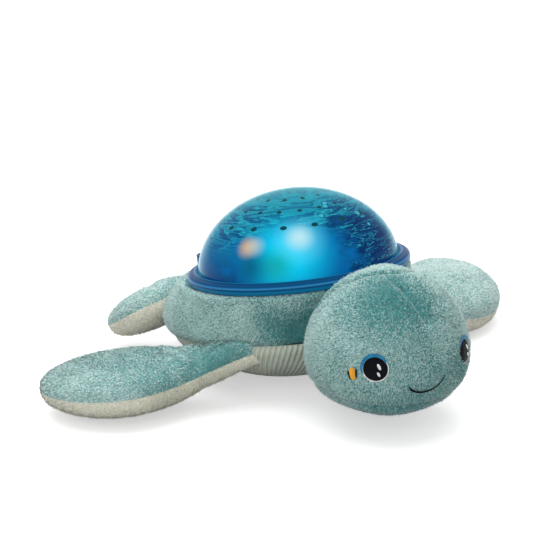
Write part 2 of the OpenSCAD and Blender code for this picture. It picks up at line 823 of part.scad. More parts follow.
body_cover();
belly_panel();
head();
left_front(true);  // front_flipper_left_top
left_front(false);  // front_flipper_left_under
right_front(true);  // front_flipper_right_top
right_front(false);  // front_flipper_right_under
rear_flipper(true);  // rear_flipper_left_top
rear_flipper(false);  // rear_flipper_left_under
mirror([1, 0, 0]) rear_flipper(true);  // rear_flipper_right_top
mirror([1, 0, 0]) rear_flipper(false);  // rear_flipper_right_under
pocket_lining();
opening_elastic();
dome_shell();
dome_gasket();
rim_bezel();
image_dome();
wave_gear();
wave_lens();
idler_gear();
idler_pin();
motor();
motor_pinion();
chassis_deck();
deck_screws();
led_board();
led_emitters();
collimator_lens();
base_tub();
battery_door();
door_screw();
battery_cells();
battery_contacts();
speaker();
main_board();
switch_board();
tact_switches();
panel_cover();
panel_screws();
button_light();
button_sound();
button_timer();
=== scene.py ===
import math
import bmesh
import bpy
import numpy as np
from mathutils import Matrix


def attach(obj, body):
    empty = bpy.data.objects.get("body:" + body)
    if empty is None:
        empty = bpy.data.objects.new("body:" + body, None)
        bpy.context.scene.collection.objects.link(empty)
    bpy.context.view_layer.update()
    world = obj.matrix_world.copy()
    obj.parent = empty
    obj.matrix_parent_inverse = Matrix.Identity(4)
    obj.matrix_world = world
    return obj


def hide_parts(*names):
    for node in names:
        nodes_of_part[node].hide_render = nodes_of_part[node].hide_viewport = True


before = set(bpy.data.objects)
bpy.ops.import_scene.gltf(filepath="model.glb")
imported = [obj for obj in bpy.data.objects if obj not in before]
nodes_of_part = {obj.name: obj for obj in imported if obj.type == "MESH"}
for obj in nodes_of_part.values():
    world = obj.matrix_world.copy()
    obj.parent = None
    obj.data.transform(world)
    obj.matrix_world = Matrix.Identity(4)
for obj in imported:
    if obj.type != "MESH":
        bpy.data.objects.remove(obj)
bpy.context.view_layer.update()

# Belly panel: a shallow bowl of cream ribbed plush that the turtle rests on.
# It is stuffed, flat where it touches the floor, and sewn to the body along a seam that leans
# as the rim does.
RIM_Y, RIM_Z, TILT = -17.0, 69.0, math.radians(11)
BODY_MID_Z, BODY_RISE, BELLY_SEAM_Z = 38.5, 70.0, 30.0
BODY_HALF_W, BODY_BACK, BODY_FRONT = 72.0, 75.5, 84.0
BELLY_PRESSED = 4.0
COLLAR_R, COLLAR_T = 71.0, math.radians(28)
SIDE_POWER, UNDER_POWER, FRONT_DRAW = 0.4, 1.5, 0.4
SEAM_DEEP, SEAM_WIDE = 1.8, 2.6
# The belly's ribbed cream is painted darker and greener than the flippers' cream, as painted shade and teal
# bounce light under the body.
SHADED_CREAM_RIB_LIGHT, SHADED_CREAM_RIB_DARK = (0.54, 0.59, 0.49), (0.22, 0.27, 0.22)
RIB_STEP, RIB_SLANT, CREAM_NAP = 1.8, math.radians(5), 0.03
VELOUR_FINISH = {"Roughness": 0.92, "Specular IOR Level": 0.12, "Sheen Weight": 0.3, "Sheen Roughness": 0.4}
PATCH_SHARE, HAIR_SHARE, TUFT_SHARE, RIB_SHARE, RIB_SHADE = 0.5, 0.25, 0.66, 0.2, 0.16
# With tufts the base is low, so the skin between them, which has no tuft shade attribute, takes painted
# shade.
TUFTED_SHADED_BASE, BARE_BASE, NAP_DARKEST, NAP_LIGHTEST = 0.02, 0.32, 0.34, 0.80
HAIR_SCALE, HAIR_STRENGTH, HAIR_DEEP = 620, 0.5, 0.0012
RIB_STRENGTH, RIB_DEEP = 0.8, 0.0012
SHADE_POOL_CORE, SHADE_POOL_RAGGED = 0.2, 8.0
ROUND_STEPS, BELLY_ROWS = 240, 60


def ease(s):
    """Half a cosine wave from 0 to 1 over s from 0 to 1, flat at both ends."""
    return (1 - np.cos(np.pi * np.clip(s, 0, 1))) / 2


def body_skin(t, a):
    """Stuffed bun: an oval ring, longer in front, shrinks with a power of cos t while its height
    follows sin t; above the widest line the ring slides forward on to the rim's circle, and the
    height leans with the rim's tilt. In front the underside draws in a little more."""
    up = t > 0
    under_power = UNDER_POWER + FRONT_DRAW * np.maximum(0, -np.sin(a)) ** 2
    r = np.where(up, np.cos(t) ** SIDE_POWER, np.cos(t) ** under_power)
    k = 1 - np.cos(np.pi / 2 * np.clip(t / COLLAR_T, 0, 1))
    z = BODY_MID_Z + np.where(up, BODY_RISE, BODY_MID_Z + BELLY_PRESSED) * np.sin(t)
    long = np.where(np.sin(a) > 0, BODY_BACK, BODY_FRONT)
    x = (BODY_HALF_W + (COLLAR_R - BODY_HALF_W) * k) * r * np.cos(a)
    y = k * RIM_Y + (long + (COLLAR_R - long) * k) * r * np.sin(a)
    z = z + math.tan(TILT) * (RIM_Y - y) * np.maximum(0, z) / RIM_Z
    return np.stack([x, y, z], -1)


def above_seam(points):
    """Distance of points above the belly seam's plane."""
    return (points[..., 2] - BELLY_SEAM_Z) * math.cos(TILT) + points[..., 1] * math.sin(TILT)


def halved(low, high, is_below):
    """The angle between low and high at which is_below turns false, by halving the span."""
    for _ in range(30):
        middle = (low + high) / 2
        under = is_below(middle)
        low, high = np.where(under, middle, low), np.where(under, high, middle)
    return low


def seam_t(a):
    """Angle t at which the skin crosses the belly seam's plane."""
    return halved(np.full_like(a, math.radians(-80)), np.full_like(a, math.radians(15)),
                  lambda t: above_seam(body_skin(t, a)) < 0)


def grid_normals(points, wrap):
    """Unit cross product of the column and row differences of a grid of points."""
    if wrap:
        across = np.roll(points, -1, 1) - np.roll(points, 1, 1)
    else:
        across = np.gradient(points, axis=1)
    n = np.cross(across, np.gradient(points, axis=0))
    return n / np.maximum(np.linalg.norm(n, axis=-1, keepdims=True), 1e-9)


def sewn_groove(points, wrap, distance, deep, wide):
    """Pulls a grid in along its normals by deep at distance 0, fading as a bell of that width."""
    return points - grid_normals(points, wrap) * (deep * np.exp(-(distance / wide) ** 2))[..., None]


def sheet_object(name, points, wrap=True):
    """Quads over a grid of points (rows, columns, 3) in millimetres; wrap joins the last column to the first.
    UV runs along columns and rows in millimetres of mean length. A row that shrinks to a point
    becomes a pole."""
    rows, cols = points.shape[:2]
    i, j = np.meshgrid(np.arange(rows - 1), np.arange(cols if wrap else cols - 1), indexing="ij")
    k = (j + 1) % cols
    quads = np.stack([i * cols + j, i * cols + k, (i + 1) * cols + k, (i + 1) * cols + j], -1).reshape(-1, 4)
    mesh = bpy.data.meshes.new(name)
    mesh.from_pydata((points.reshape(-1, 3) * 0.001).tolist(), [], quads.tolist())
    u = np.stack([j, j + 1, j + 1, j], -1).reshape(-1, 4)
    v = np.stack([i, i, i + 1, i + 1], -1).reshape(-1, 4)
    wide = np.linalg.norm(np.diff(points, axis=1), axis=-1).mean()
    tall = np.linalg.norm(np.diff(points, axis=0), axis=-1).mean()
    layer = mesh.uv_layers.new(name="cloth")
    layer.data.foreach_set("uv", np.stack([u * wide, v * tall], -1).astype(np.float32).ravel())
    mesh.polygons.foreach_set("use_smooth", np.ones(len(quads), bool))
    poles = bmesh.new()
    poles.from_mesh(mesh)
    bmesh.ops.remove_doubles(poles, verts=poles.verts, dist=1e-7)
    poles.to_mesh(mesh)
    poles.free()
    mesh.update()
    piece = bpy.data.objects.new(name, mesh)
    bpy.context.scene.collection.objects.link(piece)
    return piece


def plush_piece(name, points, wrap, cloth, node):
    """A stuffed cloth surface that stands for a soft node of the part and rides with the plush."""
    piece = sheet_object(name, points, wrap)
    piece.data.materials.append(cloth)
    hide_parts(node)
    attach(piece, "plush")


def new_finish(name, settings):
    """A material with its shader's inputs set by name: the material, its node tree and the shader."""
    finish = bpy.data.materials.new(name)
    finish.use_nodes = True
    tree = finish.node_tree
    shader = tree.nodes["Principled BSDF"]
    for socket, value in settings.items():
        shader.inputs[socket].default_value = value
    return finish, tree, shader


def fitted(tree, kind, settings, **links):
    """A shader node of a kind, with inputs set by name and sockets linked to the inputs named."""
    node = tree.nodes.new("ShaderNode" + kind)
    for socket, value in settings.items():
        node.inputs[socket].default_value = value
    for socket, source in links.items():
        tree.links.new(source, node.inputs[socket])
    return node


def worked(tree, operation, *values):
    """A Math node whose inputs are sockets or plain numbers."""
    n = tree.nodes.new("ShaderNodeMath")
    n.operation = operation
    for at, value in enumerate(values):
        if isinstance(value, (int, float)):
            n.inputs[at].default_value = value
        else:
            tree.links.new(value, n.inputs[at])
    return n.outputs[0]


def stepped(tree, value, start, end):
    """Smooth step from 0 at start to 1 at end."""
    r = fitted(tree, "MapRange", {"From Min": start, "From Max": end}, Value=value)
    r.interpolation_type = "SMOOTHSTEP"
    return r.outputs["Result"]


def mottled(tree, place, scale, detail=2.0, distortion=0.0):
    """Noise of the given scale per metre."""
    return fitted(tree, "TexNoise", {"Scale": scale, "Detail": detail, "Distortion": distortion},
                  Vector=place).outputs["Fac"]


def embossed(tree, height, strength, deep, over=None):
    """A bump that is deep metres high; over is the normal that it lies on."""
    lift = fitted(tree, "Bump", {"Strength": strength, "Distance": deep}, Height=height)
    if over is not None:
        tree.links.new(over, lift.inputs["Normal"])
    return lift.outputs["Normal"]


def graded(tree, value, *stops):
    """A colour that runs through stops of (value, colour)."""
    ramp = fitted(tree, "ValToRGB", {}, Fac=value)
    for mark, (at, colour) in zip(ramp.color_ramp.elements, (stops[0], stops[-1])):
        mark.position = at
        mark.color = (*colour, 1)
    for at, colour in stops[1:-1]:
        ramp.color_ramp.elements.new(at).color = (*colour, 1)
    return ramp.outputs["Color"]


def pool(tree, place, centre, size, core=0.0, ragged=0.0):
    """A soft round pool of the given size in millimetres about a point, full inside the core's share
    of it; ragged makes its edge uneven."""
    d = tree.nodes.new("ShaderNodeVectorMath")
    d.operation = "DISTANCE"
    d.inputs[1].default_value = [c / 1000 for c in centre]
    tree.links.new(place, d.inputs[0])
    far = d.outputs["Value"]
    if ragged:
        edge = mottled(tree, place, scale=110, detail=3)
        far = worked(tree, "ADD", far, worked(tree, "MULTIPLY_ADD", edge, ragged / 500, -ragged / 1000))
    return stepped(tree, far, size / 1000, core * size / 1000)


def plush_material(name, light, dark, nap_size, tufted=True, painted_shade=(), rib=0.0):
    """Velour: nap patches and hairs vary the colour at random between dark and light. With tufts the skin
    between them takes painted shade, and each tuft's shade adds painted shade at its root. Each listed
    pool of painted shade is a centre, a size in millimetres and a share. rib is the step in millimetres
    of ribs that slant over the sheet, with painted shade in their troughs."""
    cloth, tree, shader = new_finish(name, VELOUR_FINISH)
    place = fitted(tree, "TexCoord", {}).outputs
    patches = mottled(tree, place["Object"], 1 / nap_size, detail=3, distortion=0.8)
    hairs = mottled(tree, place["Object"], HAIR_SCALE)
    nap = worked(tree, "MULTIPLY_ADD", patches, PATCH_SHARE, TUFTED_SHADED_BASE if tufted else BARE_BASE)
    nap = worked(tree, "MULTIPLY_ADD", hairs, HAIR_SHARE, nap)
    # Each tuft's shade attribute: a random tone with painted shade at its root.
    if tufted:
        tuft = tree.nodes.new("ShaderNodeAttribute")
        tuft.attribute_name = "shade"
        nap = worked(tree, "MULTIPLY_ADD", tuft.outputs["Fac"], TUFT_SHARE, nap)
    # Each listed pool is painted shade that darkens the velour there.
    for centre, size, share in painted_shade:
        shade_pool = pool(tree, place["Object"], centre, size, SHADE_POOL_CORE, SHADE_POOL_RAGGED)
        nap = worked(tree, "SUBTRACT", nap, worked(tree, "MULTIPLY", shade_pool, share))
    relief = embossed(tree, hairs, HAIR_STRENGTH, HAIR_DEEP)
    if rib:
        slant = fitted(tree, "Mapping", {"Rotation": (0, 0, RIB_SLANT)}, Vector=place["UV"])
        ribs = fitted(tree, "TexWave", {"Scale": 2 * math.pi / (20 * rib), "Distortion": 0.5},
                      Vector=slant.outputs["Vector"]).outputs["Fac"]
        # The ribs' troughs take painted shade and their crests are painted lighter.
        nap = worked(tree, "MULTIPLY_ADD", ribs, RIB_SHARE, worked(tree, "SUBTRACT", nap, RIB_SHADE))
        relief = embossed(tree, ribs, RIB_STRENGTH, RIB_DEEP, relief)
    shade = graded(tree, nap, (NAP_DARKEST, dark), (NAP_LIGHTEST, light))
    tree.links.new(shade, shader.inputs["Base Color"])
    tree.links.new(relief, shader.inputs["Normal"])
    return cloth


shaded_cream_ribbed = plush_material("cream_ribbed_plush", SHADED_CREAM_RIB_LIGHT, SHADED_CREAM_RIB_DARK, CREAM_NAP,
                              tufted=False, rib=RIB_STEP)
round_a = np.linspace(0, 2 * np.pi, ROUND_STEPS, endpoint=False)
belly_s = np.linspace(0, 1, BELLY_ROWS)[:, None]
belly_t = -np.pi / 2 + (seam_t(round_a)[None, :] + np.pi / 2) * belly_s ** 0.8
belly = body_skin(belly_t, np.broadcast_to(round_a, belly_t.shape))
belly[..., 2] = np.maximum(belly[..., 2], 0.0)
belly = sewn_groove(belly, True, above_seam(belly), SEAM_DEEP, SEAM_WIDE)
belly[..., 2] = np.maximum(belly[..., 2], 0.0)
plush_piece("belly_plush", belly, True, shaded_cream_ribbed, "belly_panel")

# Body: teal velour sewn round the pocket, plump at the sides and turned in under the projector's rim.
# The pile is a little over a millimetre long and lies brushed towards the tail.
TEAL_LIGHT, TEAL_DARK, TEAL_NAP = (0.50, 0.70, 0.67), (0.055, 0.225, 0.225), 0.032
# Pools of painted shade on the body's front, in the fold between the near flipper and the head.
BODY_PAINTED_SHADE = (((-44, -70, 44), 34, 0.34), ((-40, -80, 56), 24, 0.14))
BODY_ROWS = 90
COLLAR_W = -5.2
MOUTH_R, FOLD_R, HEM_R = 62.3, 61.9, 61.8
TAB_HALF_W, TAB_REACH, TAB_FROM = 24.7, 83.7, 50
TAB_COVER_W, TAB_CLEAR, TAB_RISE = -11.5, 3, 14
TAB_BARE_HALF_W, TAB_BARE_W = 28, -14
# Each hollow: its place on the turtle's left, its size and its depth.
BODY_HOLLOWS = (((62, -46, 36), 9, 3.0), ((52, 52, 42), 8, 3.0), ((40, -76, 52), 9, 4.0))


def in_rim(points):
    """Row-frame points in the projector's own frame: across, back and along its tilted axis."""
    y, z = points[..., 1] - RIM_Y, points[..., 2] - RIM_Z
    c, s = math.cos(TILT), math.sin(TILT)
    return np.stack([points[..., 0], y * c - z * s, y * s + z * c], -1)


def from_rim(points):
    """The projector's own frame back to the row frame."""
    v, w = points[..., 1], points[..., 2]
    c, s = math.cos(TILT), math.sin(TILT)
    return np.stack([points[..., 0], RIM_Y + v * c + w * s, RIM_Z - v * s + w * c], -1)


def collar_t(a, level):
    """Angle t at which the skin reaches a height in the projector's frame."""
    return halved(seam_t(a), np.full_like(a, math.radians(60)),
                  lambda t: in_rim(body_skin(t, a))[..., 2] < level)


def tab_notch(points):
    """Holds the skin under the switch tab: inside the tab's plan the height stays below its cover, and it
    rises again over a few millimetres outside."""
    q = in_rim(points)
    outside = np.maximum(np.abs(q[..., 0]) - TAB_HALF_W, q[..., 1] - TAB_REACH)
    outside = np.maximum(outside, TAB_FROM - q[..., 1])
    q[..., 2] = np.minimum(q[..., 2], TAB_COVER_W + TAB_RISE * ease(outside / TAB_CLEAR))
    return from_rim(q)


def dimple(points, wrap, centre, size, deep):
    """Presses the skin in along its normals around a point, as a bell of that size."""
    d2 = ((points - np.asarray(centre)) ** 2).sum(-1)
    return points - grid_normals(points, wrap) * (deep * np.exp(-d2 / (2 * size * size)))[..., None]


def pile_coat(name, points, wrap, cloth, count, length, nap, seed, keep=None):
    """Short pile: count thin triangles at random places of a grid, chosen by area, that lean from the
    surface's normal towards nap. They shade as one soft coat with the surface's normals, a little
    stirred, and each has a random tone with painted shade at its root."""
    half_width, upright, lying, stray, stir = 0.34, 0.45, 0.8, 0.3, 0.2
    shortest, spread = 0.6, 0.7
    # Roots take painted shade: their tone is scaled below the tips'.
    shaded_root_tone, tip_least, tip_tone = 0.5, 0.35, 0.65
    rng = np.random.default_rng(seed)
    cols = points.shape[1]
    across = np.roll(points, -1, 1) - points
    if not wrap:
        across = across[:, :-1]
    along = points[1:, :across.shape[1]] - points[:-1, :across.shape[1]]
    face = np.cross(across[:-1], along)
    area = np.linalg.norm(face, axis=-1)
    if keep is not None:
        area = area * keep[:-1, :across.shape[1]]
    i, j = np.unravel_index(rng.choice(area.size, count, p=area.ravel() / area.sum()), area.shape)
    s, r = rng.random((count, 1)), rng.random((count, 1))
    k = (j + 1) % cols
    near_row = points[i, j] * (1 - s) + points[i, k] * s
    next_row = points[i + 1, j] * (1 - s) + points[i + 1, k] * s
    root = near_row * (1 - r) + next_row * r
    n = grid_normals(points, wrap)[i, j]
    lay = np.asarray(nap, float) - n * (n @ np.asarray(nap, float))[:, None]
    lean = upright * n + lying * lay + stray * rng.normal(size=(count, 3))
    tip = root + lean * length * (shortest + spread * rng.random((count, 1)))
    side = np.cross(lean, n)
    side *= half_width / np.maximum(np.linalg.norm(side, axis=-1, keepdims=True), 1e-6)
    corners = np.stack([root - side, root + side, tip], 1).reshape(-1, 3)
    mesh = bpy.data.meshes.new(name)
    mesh.from_pydata((corners * 0.001).tolist(), [], np.arange(3 * count).reshape(-1, 3).tolist())
    mesh.polygons.foreach_set("use_smooth", np.ones(count, bool))
    mesh.update()
    stirred = n + stir * rng.normal(size=(count, 3))
    stirred /= np.linalg.norm(stirred, axis=-1, keepdims=True)
    mesh.normals_split_custom_set_from_vertices(np.repeat(stirred, 3, axis=0).tolist())
    tone = rng.random(count)
    shades = np.stack([shaded_root_tone * tone, shaded_root_tone * tone, tip_least + tip_tone * tone], -1)
    shade = mesh.attributes.new("shade", "FLOAT", "POINT")
    shade.data.foreach_set("value", shades.astype(np.float32).ravel())
    coat = bpy.data.objects.new(name, mesh)
    bpy.context.scene.collection.objects.link(coat)
    coat.data.materials.append(cloth)
    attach(coat, "plush")


body_velour = plush_material("body_velour", TEAL_LIGHT, TEAL_DARK, TEAL_NAP, painted_shade=BODY_PAINTED_SHADE)
cover_s = np.linspace(0, 1, BODY_ROWS)[:, None]
top_t = collar_t(round_a, COLLAR_W)
cover_t = seam_t(round_a) + (top_t - seam_t(round_a)) * cover_s
cover_a = np.broadcast_to(round_a, cover_t.shape)
cover = body_skin(cover_t, cover_a)
wide_lumps = 0.9 * np.sin(5 * cover_a + 1.1) * np.sin(3.2 * cover_t + 0.4)
stuffing = wide_lumps + 0.6 * np.sin(11 * cover_a) * np.cos(5 * cover_t)
cover = cover + grid_normals(cover, True) * (stuffing * np.sin(np.pi * cover_s))[..., None]
cover = sewn_groove(cover, True, above_seam(cover), SEAM_DEEP, SEAM_WIDE)
for side in (-1, 1):
    for (hollow_x, hollow_y, hollow_z), size, deep in BODY_HOLLOWS:
        cover = dimple(cover, True, (side * hollow_x, hollow_y, hollow_z), size, deep)
edge = in_rim(cover[-1:])
edge_r = np.hypot(edge[..., 0], edge[..., 1])[..., None]
turn_r = np.concatenate([edge_r - 0.5, edge_r - 1.4, 0.6 * edge_r + 0.4 * MOUTH_R, MOUTH_R + 0 * edge_r,
                         FOLD_R + 0 * edge_r, HEM_R + 0 * edge_r])
turn_w = np.array([-4.2, -3.7, -3.6, -3.7, -5.0, -11.0])[:, None, None]
turned_in = from_rim(np.concatenate([edge[..., :2] * turn_r / edge_r, turn_w + 0 * turn_r], -1))
cover = tab_notch(np.concatenate([cover, turned_in]))
plush_piece("body_plush", cover, True, body_velour, "body_cover")
cover_rim = in_rim(cover)
by_tab = (np.abs(cover_rim[..., 0]) < TAB_BARE_HALF_W) & (cover_rim[..., 1] > TAB_FROM)
by_tab = by_tab & (cover_rim[..., 2] > TAB_BARE_W)
cover_shows = (np.arange(len(cover)) < BODY_ROWS + 2)[:, None] & ~by_tab
pile_coat("body_pile", cover, True, body_velour, count=70000, length=1.3,
          nap=(0, 0.7, -0.5), seed=11, keep=cover_shows)

# Front flippers: each is two panels, teal velour above and cream plush below, stuffed and sewn edge to edge.
# The root is closed into the body's side seam, which gathers the cloth into a fold.
CREAM_LIGHT, CREAM_DARK = (0.94, 0.925, 0.79), (0.58, 0.595, 0.49)
# The flipper tops take a lighter copy of the body's teal velour: painted light on their upper faces.
LIT_FLIPPER_LIGHT, LIT_FLIPPER_DARK = (0.64, 0.81, 0.78), (0.10, 0.29, 0.285)
# Pools of painted shade on the near flipper's top, beside the head.
FLIPPER_PAINTED_SHADE = (((-76, -52, 36), 34, 0.34), ((-104, -60, 26), 26, 0.24))
FRONT_SIZES = {"length": 128.0, "root_w": 4.0, "half_w": 33.0, "thick": 16.0, "bow": 16.5, "under": 1.1}
FRONT_ROOT, FRONT_NECK, FRONT_TUFTS = (45, -34.4, 26.7), (-14.0, 10.0), 24000
FLIPPER_FILL, FLIPPER_PILE = 0.8, 1.2
# Each flipper: its side, heading, droop and roll in degrees.
FRONT_POSES = {"left": (1, 15.2, 5.6, 10.8), "right": (-1, 12.6, 4.1, -3.6)}
# Each gather: its place along the blade, depth, width and slant.
GATHERS = ((0.2, 1.6, 0.025, 0.3), (0.27, 1.8, 0.025, 0.15), (0.34, 1.6, 0.03, -0.1), (0.42, 1.0, 0.03, -0.2))


def blade_skin(s, k, upper, length, root_w, half_w, thick, bow, under):
    """Flipper half: at s along the blade the section is half an oval, its width and height growing by
    eased steps to a round tip; k from 0 to 1 goes from one edge seam over the panel to the other."""
    tip_w = np.sqrt(np.maximum(0.0004, 1 - (np.maximum(0, s - 0.68) / 0.32) ** 2))
    tip_t = np.sqrt(np.maximum(0.0004, 1 - (np.maximum(0, s - 0.6) / 0.4) ** 2))
    w = (root_w + (half_w - root_w) * ease(s / 0.7)) * tip_w
    t = thick * (0.5 + 0.5 * ease(s / 0.55)) * tip_t ** 0.8
    a = np.pi * k
    z = t * np.maximum(0, np.sin(a)) ** 0.75
    return np.stack([length * s, bow * s * s + w * np.cos(a), z if upper else -under * z], -1)


def turned(axis, degrees):
    """Right-handed turn about a row axis."""
    c, s = math.cos(math.radians(degrees)), math.sin(math.radians(degrees))
    return np.array({"x": [[1, 0, 0], [0, c, -s], [0, s, c]], "y": [[c, 0, s], [0, 1, 0], [-s, 0, c]],
                     "z": [[c, -s, 0], [s, c, 0], [0, 0, 1]]}[axis])


def flipper_panel(upper, pose, root, sizes, creases, neck=(0.0, 0.0)):
    """A flipper half in the row frame: the blade turned by roll, droop and heading, moved to its root,
    mirrored for the other side, with creases pressed across it near the root and nothing below the
    floor. neck draws the root forwards and up to where it is sewn in."""
    side, heading, droop, roll = pose
    s, k = np.meshgrid(1 - (1 - np.linspace(0, 1, 90)) ** 1.5, np.linspace(0, 1, 64), indexing="ij")
    p = blade_skin(s, k, upper, **sizes)
    over = np.sin(np.pi * k) ** 0.5
    lumps = 0.7 * np.sin(9 * s + 2 * k) * np.sin(7 * k + 3 * s) * over
    for at, deep, wide, slant in creases:
        lumps = lumps - deep * np.exp(-((s - at - slant * (k - 0.5)) / wide) ** 2) * over
    p[..., 2] += lumps if upper else -0.5 * lumps
    p = p @ (turned("z", heading) @ turned("y", droop) @ turned("x", roll)).T + np.asarray(root)
    p[..., 1:] += (1 - ease(s / 0.45))[..., None] * np.asarray(neck)
    p[..., 2] = np.maximum(p[..., 2], 0.0)
    p[..., 0] *= side
    outward = upper == (side > 0)
    return p if outward else p[:, ::-1]


def sew_flipper(pair, word, upper, panel, count, nap, seed):
    """One panel of a flipper as a stuffed piece with its coat of pile."""
    part = "top" if upper else "under"
    cloth = lit_flipper_velour if upper else cream_plush
    node = f"{pair}_flipper_{word}_{part}"
    plush_piece(f"{pair}_{word}_{part}_plush", panel, False, cloth, node)
    pile_coat(f"{pair}_{word}_{part}_pile", panel, False, cloth, count, FLIPPER_PILE, nap, seed)


cream_plush = plush_material("cream_plush", CREAM_LIGHT, CREAM_DARK, CREAM_NAP)
lit_flipper_velour = plush_material("lit_flipper_velour", LIT_FLIPPER_LIGHT, LIT_FLIPPER_DARK, TEAL_NAP,
                                painted_shade=FLIPPER_PAINTED_SHADE)
for word, pose in FRONT_POSES.items():
    side = pose[0]
    for upper in (True, False):
        panel = flipper_panel(upper, pose, FRONT_ROOT, FRONT_SIZES, GATHERS, FRONT_NECK)
        sew_flipper("front", word, upper, panel, FRONT_TUFTS, nap=(side * 0.8, 0.2, -0.2),
                    seed=21 + side + 2 * upper)

# Rear flippers: short two-panel paddles that slope down beside the tail end, made as the front ones are.
# Their front edge stands up, so the cream underside shows from in front.
REAR_SIZES = {"length": 64.0, "root_w": 18.0, "half_w": 22.5, "thick": 12.5, "bow": 26.0, "under": 1.1}
REAR_ROOT = (20.5, 48, 44)
REAR_TURN, REAR_TUFTS = (8.5, 13.3, -30.5), 10000
REAR_CREASES = ((0.55, 0.8, 0.05, 0.2),)
for side, word in ((1, "left"), (-1, "right")):
    for upper in (True, False):
        panel = flipper_panel(upper, (side, *REAR_TURN), REAR_ROOT, REAR_SIZES, REAR_CREASES)
        sew_flipper("rear", word, upper, panel, REAR_TUFTS, nap=(side * 0.5, 0.7, -0.2),
                    seed=31 + side + 2 * upper)

# Head: a round stuffed ball of teal velour with a wide jaw, sewn from panels that meet on the crown.
# A seam runs from the forehead over the crown, one goes down each side, and one goes round the chin.
# The pile is left off along the seams and where the face is embroidered.
HEAD_HALF_W, HEAD_HALF_L, HEAD_RISE, HEAD_DROP = 48.5, 49, 50.0, 31.5
HEAD_MID = np.array([0, -106, 44.0])
FACE_A = math.radians(260.5)
HEAD_ROWS, HEAD_COLUMNS = 150, 200
# Seams are paths of (t, a) in degrees, a measured from the face's middle.
CROWN_SEAMS = ([(36, 8.5), (50, 5), (66, -4), (80, -30), (88, -58)],
               [(88, -58), (78, -95), (66, -103), (54, -111), (30, -118)],
               [(88, -58), (80, 60), (66, 95), (54, 111), (30, 118)])
CHIN_SEAM = [(-30, -130), (-33, -80), (-36, -25), (-36, 0), (-36, 25), (-33, 80), (-30, 130)]
CROWN_DEEP, CROWN_WIDE, CHIN_DEEP, CHIN_WIDE = 2.0, 1.9, 1.6, 2.2
BARE_SEAM, BARE_EYE, BARE_CHEEK = 0.9, 8.2, 4.0
RIM_CLEAR_R, RIM_CLEAR_W, BARE_RIM_R = 69.2, -7, 70.5
EYE_T, EYE_A = 8.5, {"right": -35.5, "left": 41.0}
CHEEK_T, CHEEK_A = 3.5, {"right": -51.0, "left": 73.0}


def head_skin(t, a):
    """Egg: the ring shrinks with a power of cos t, quicker above the widest line than below it, and the
    height follows sin t, further up than down."""
    c = np.abs(np.cos(t))
    r = np.where(t > 0, c ** 1.08, c ** 0.67)
    x = HEAD_HALF_W * r * np.cos(a)
    y = HEAD_MID[1] + HEAD_HALF_L * r * np.sin(a)
    z = HEAD_MID[2] + np.where(t > 0, HEAD_RISE, HEAD_DROP) * np.sin(t)
    return np.stack([x, y, z], -1)


def line_distance(points, line):
    """Distance of each grid point to a line through the given points, as the least over its short pieces."""
    near = np.full(points.shape[:2], 1e9)
    for p, q in zip(line[:-1], line[1:]):
        d = q - p
        along = np.clip(((points - p) @ d) / (d @ d), 0, 1)
        near = np.minimum(near, np.linalg.norm(points - p - along[..., None] * d, axis=-1))
    return near


def on_head(places, steps=24):
    """Points on the head along a path of (t, a) in degrees, a measured from the face's middle, with
    even steps of t and a from one place to the next."""
    places = np.radians(np.asarray(places, float))
    s = np.linspace(0, len(places) - 1, steps)
    t = np.interp(s, np.arange(len(places)), places[:, 0])
    a = np.interp(s, np.arange(len(places)), places[:, 1])
    return head_skin(t, FACE_A + a)


head_t, head_a = np.meshgrid(np.radians(np.linspace(-90, 90, HEAD_ROWS)),
                             np.linspace(0, 2 * np.pi, HEAD_COLUMNS, endpoint=False), indexing="ij")
skull = head_skin(head_t, head_a)
plump = skull + grid_normals(skull, True) * (0.5 * np.sin(4 * head_a + 0.7) * np.cos(3 * head_t))[..., None]
crown_distance = np.minimum.reduce([line_distance(skull, on_head(seam)) for seam in CROWN_SEAMS])
from_middle = skull - HEAD_MID
from_middle /= np.linalg.norm(from_middle, axis=-1, keepdims=True)
plump = plump - from_middle * (CROWN_DEEP * np.exp(-(crown_distance / CROWN_WIDE) ** 2))[..., None]
chin_distance = line_distance(skull, on_head(CHIN_SEAM, 60))
plump = sewn_groove(plump, True, chin_distance, CHIN_DEEP, CHIN_WIDE)
head_rim = in_rim(plump)
head_rho = np.hypot(head_rim[..., 0], head_rim[..., 1])
clear_rho = np.where(head_rim[..., 2] > RIM_CLEAR_W, np.maximum(head_rho, RIM_CLEAR_R), head_rho)
clear = clear_rho / np.maximum(head_rho, 1e-6)
plump = from_rim(head_rim * np.stack([clear, clear, np.ones_like(clear)], -1))
crown_front = head_skin(np.array(1.1), np.array(FACE_A - 0.3))
# Pools of painted shade on the head: the front of the crown, the face's far side and the jaw.
HEAD_PAINTED_SHADE = ((crown_front, 32, 0.3), ((14, -150, 38), 30, 0.2), ((-20, -138, 12), 42, 0.28))
head_velour = plush_material("head_velour", TEAL_LIGHT, TEAL_DARK, TEAL_NAP, painted_shade=HEAD_PAINTED_SHADE)
plush_piece("head_plush", plump, True, head_velour, "head")
head_shows = (head_rho > BARE_RIM_R) * (np.minimum(crown_distance, chin_distance) > BARE_SEAM) * 1.0
for t0, angles, reach in ((EYE_T, EYE_A, BARE_EYE), (CHEEK_T, CHEEK_A, BARE_CHEEK)):
    for a0 in angles.values():
        stitched = head_skin(math.radians(t0), FACE_A + math.radians(a0))
        head_shows = head_shows * (np.linalg.norm(plump - stitched, axis=-1) > reach)
pile_coat("head_pile", plump, True, head_velour, count=80000, length=1.25,
          nap=(0.1, 0.5, -0.6), seed=41, keep=head_shows)

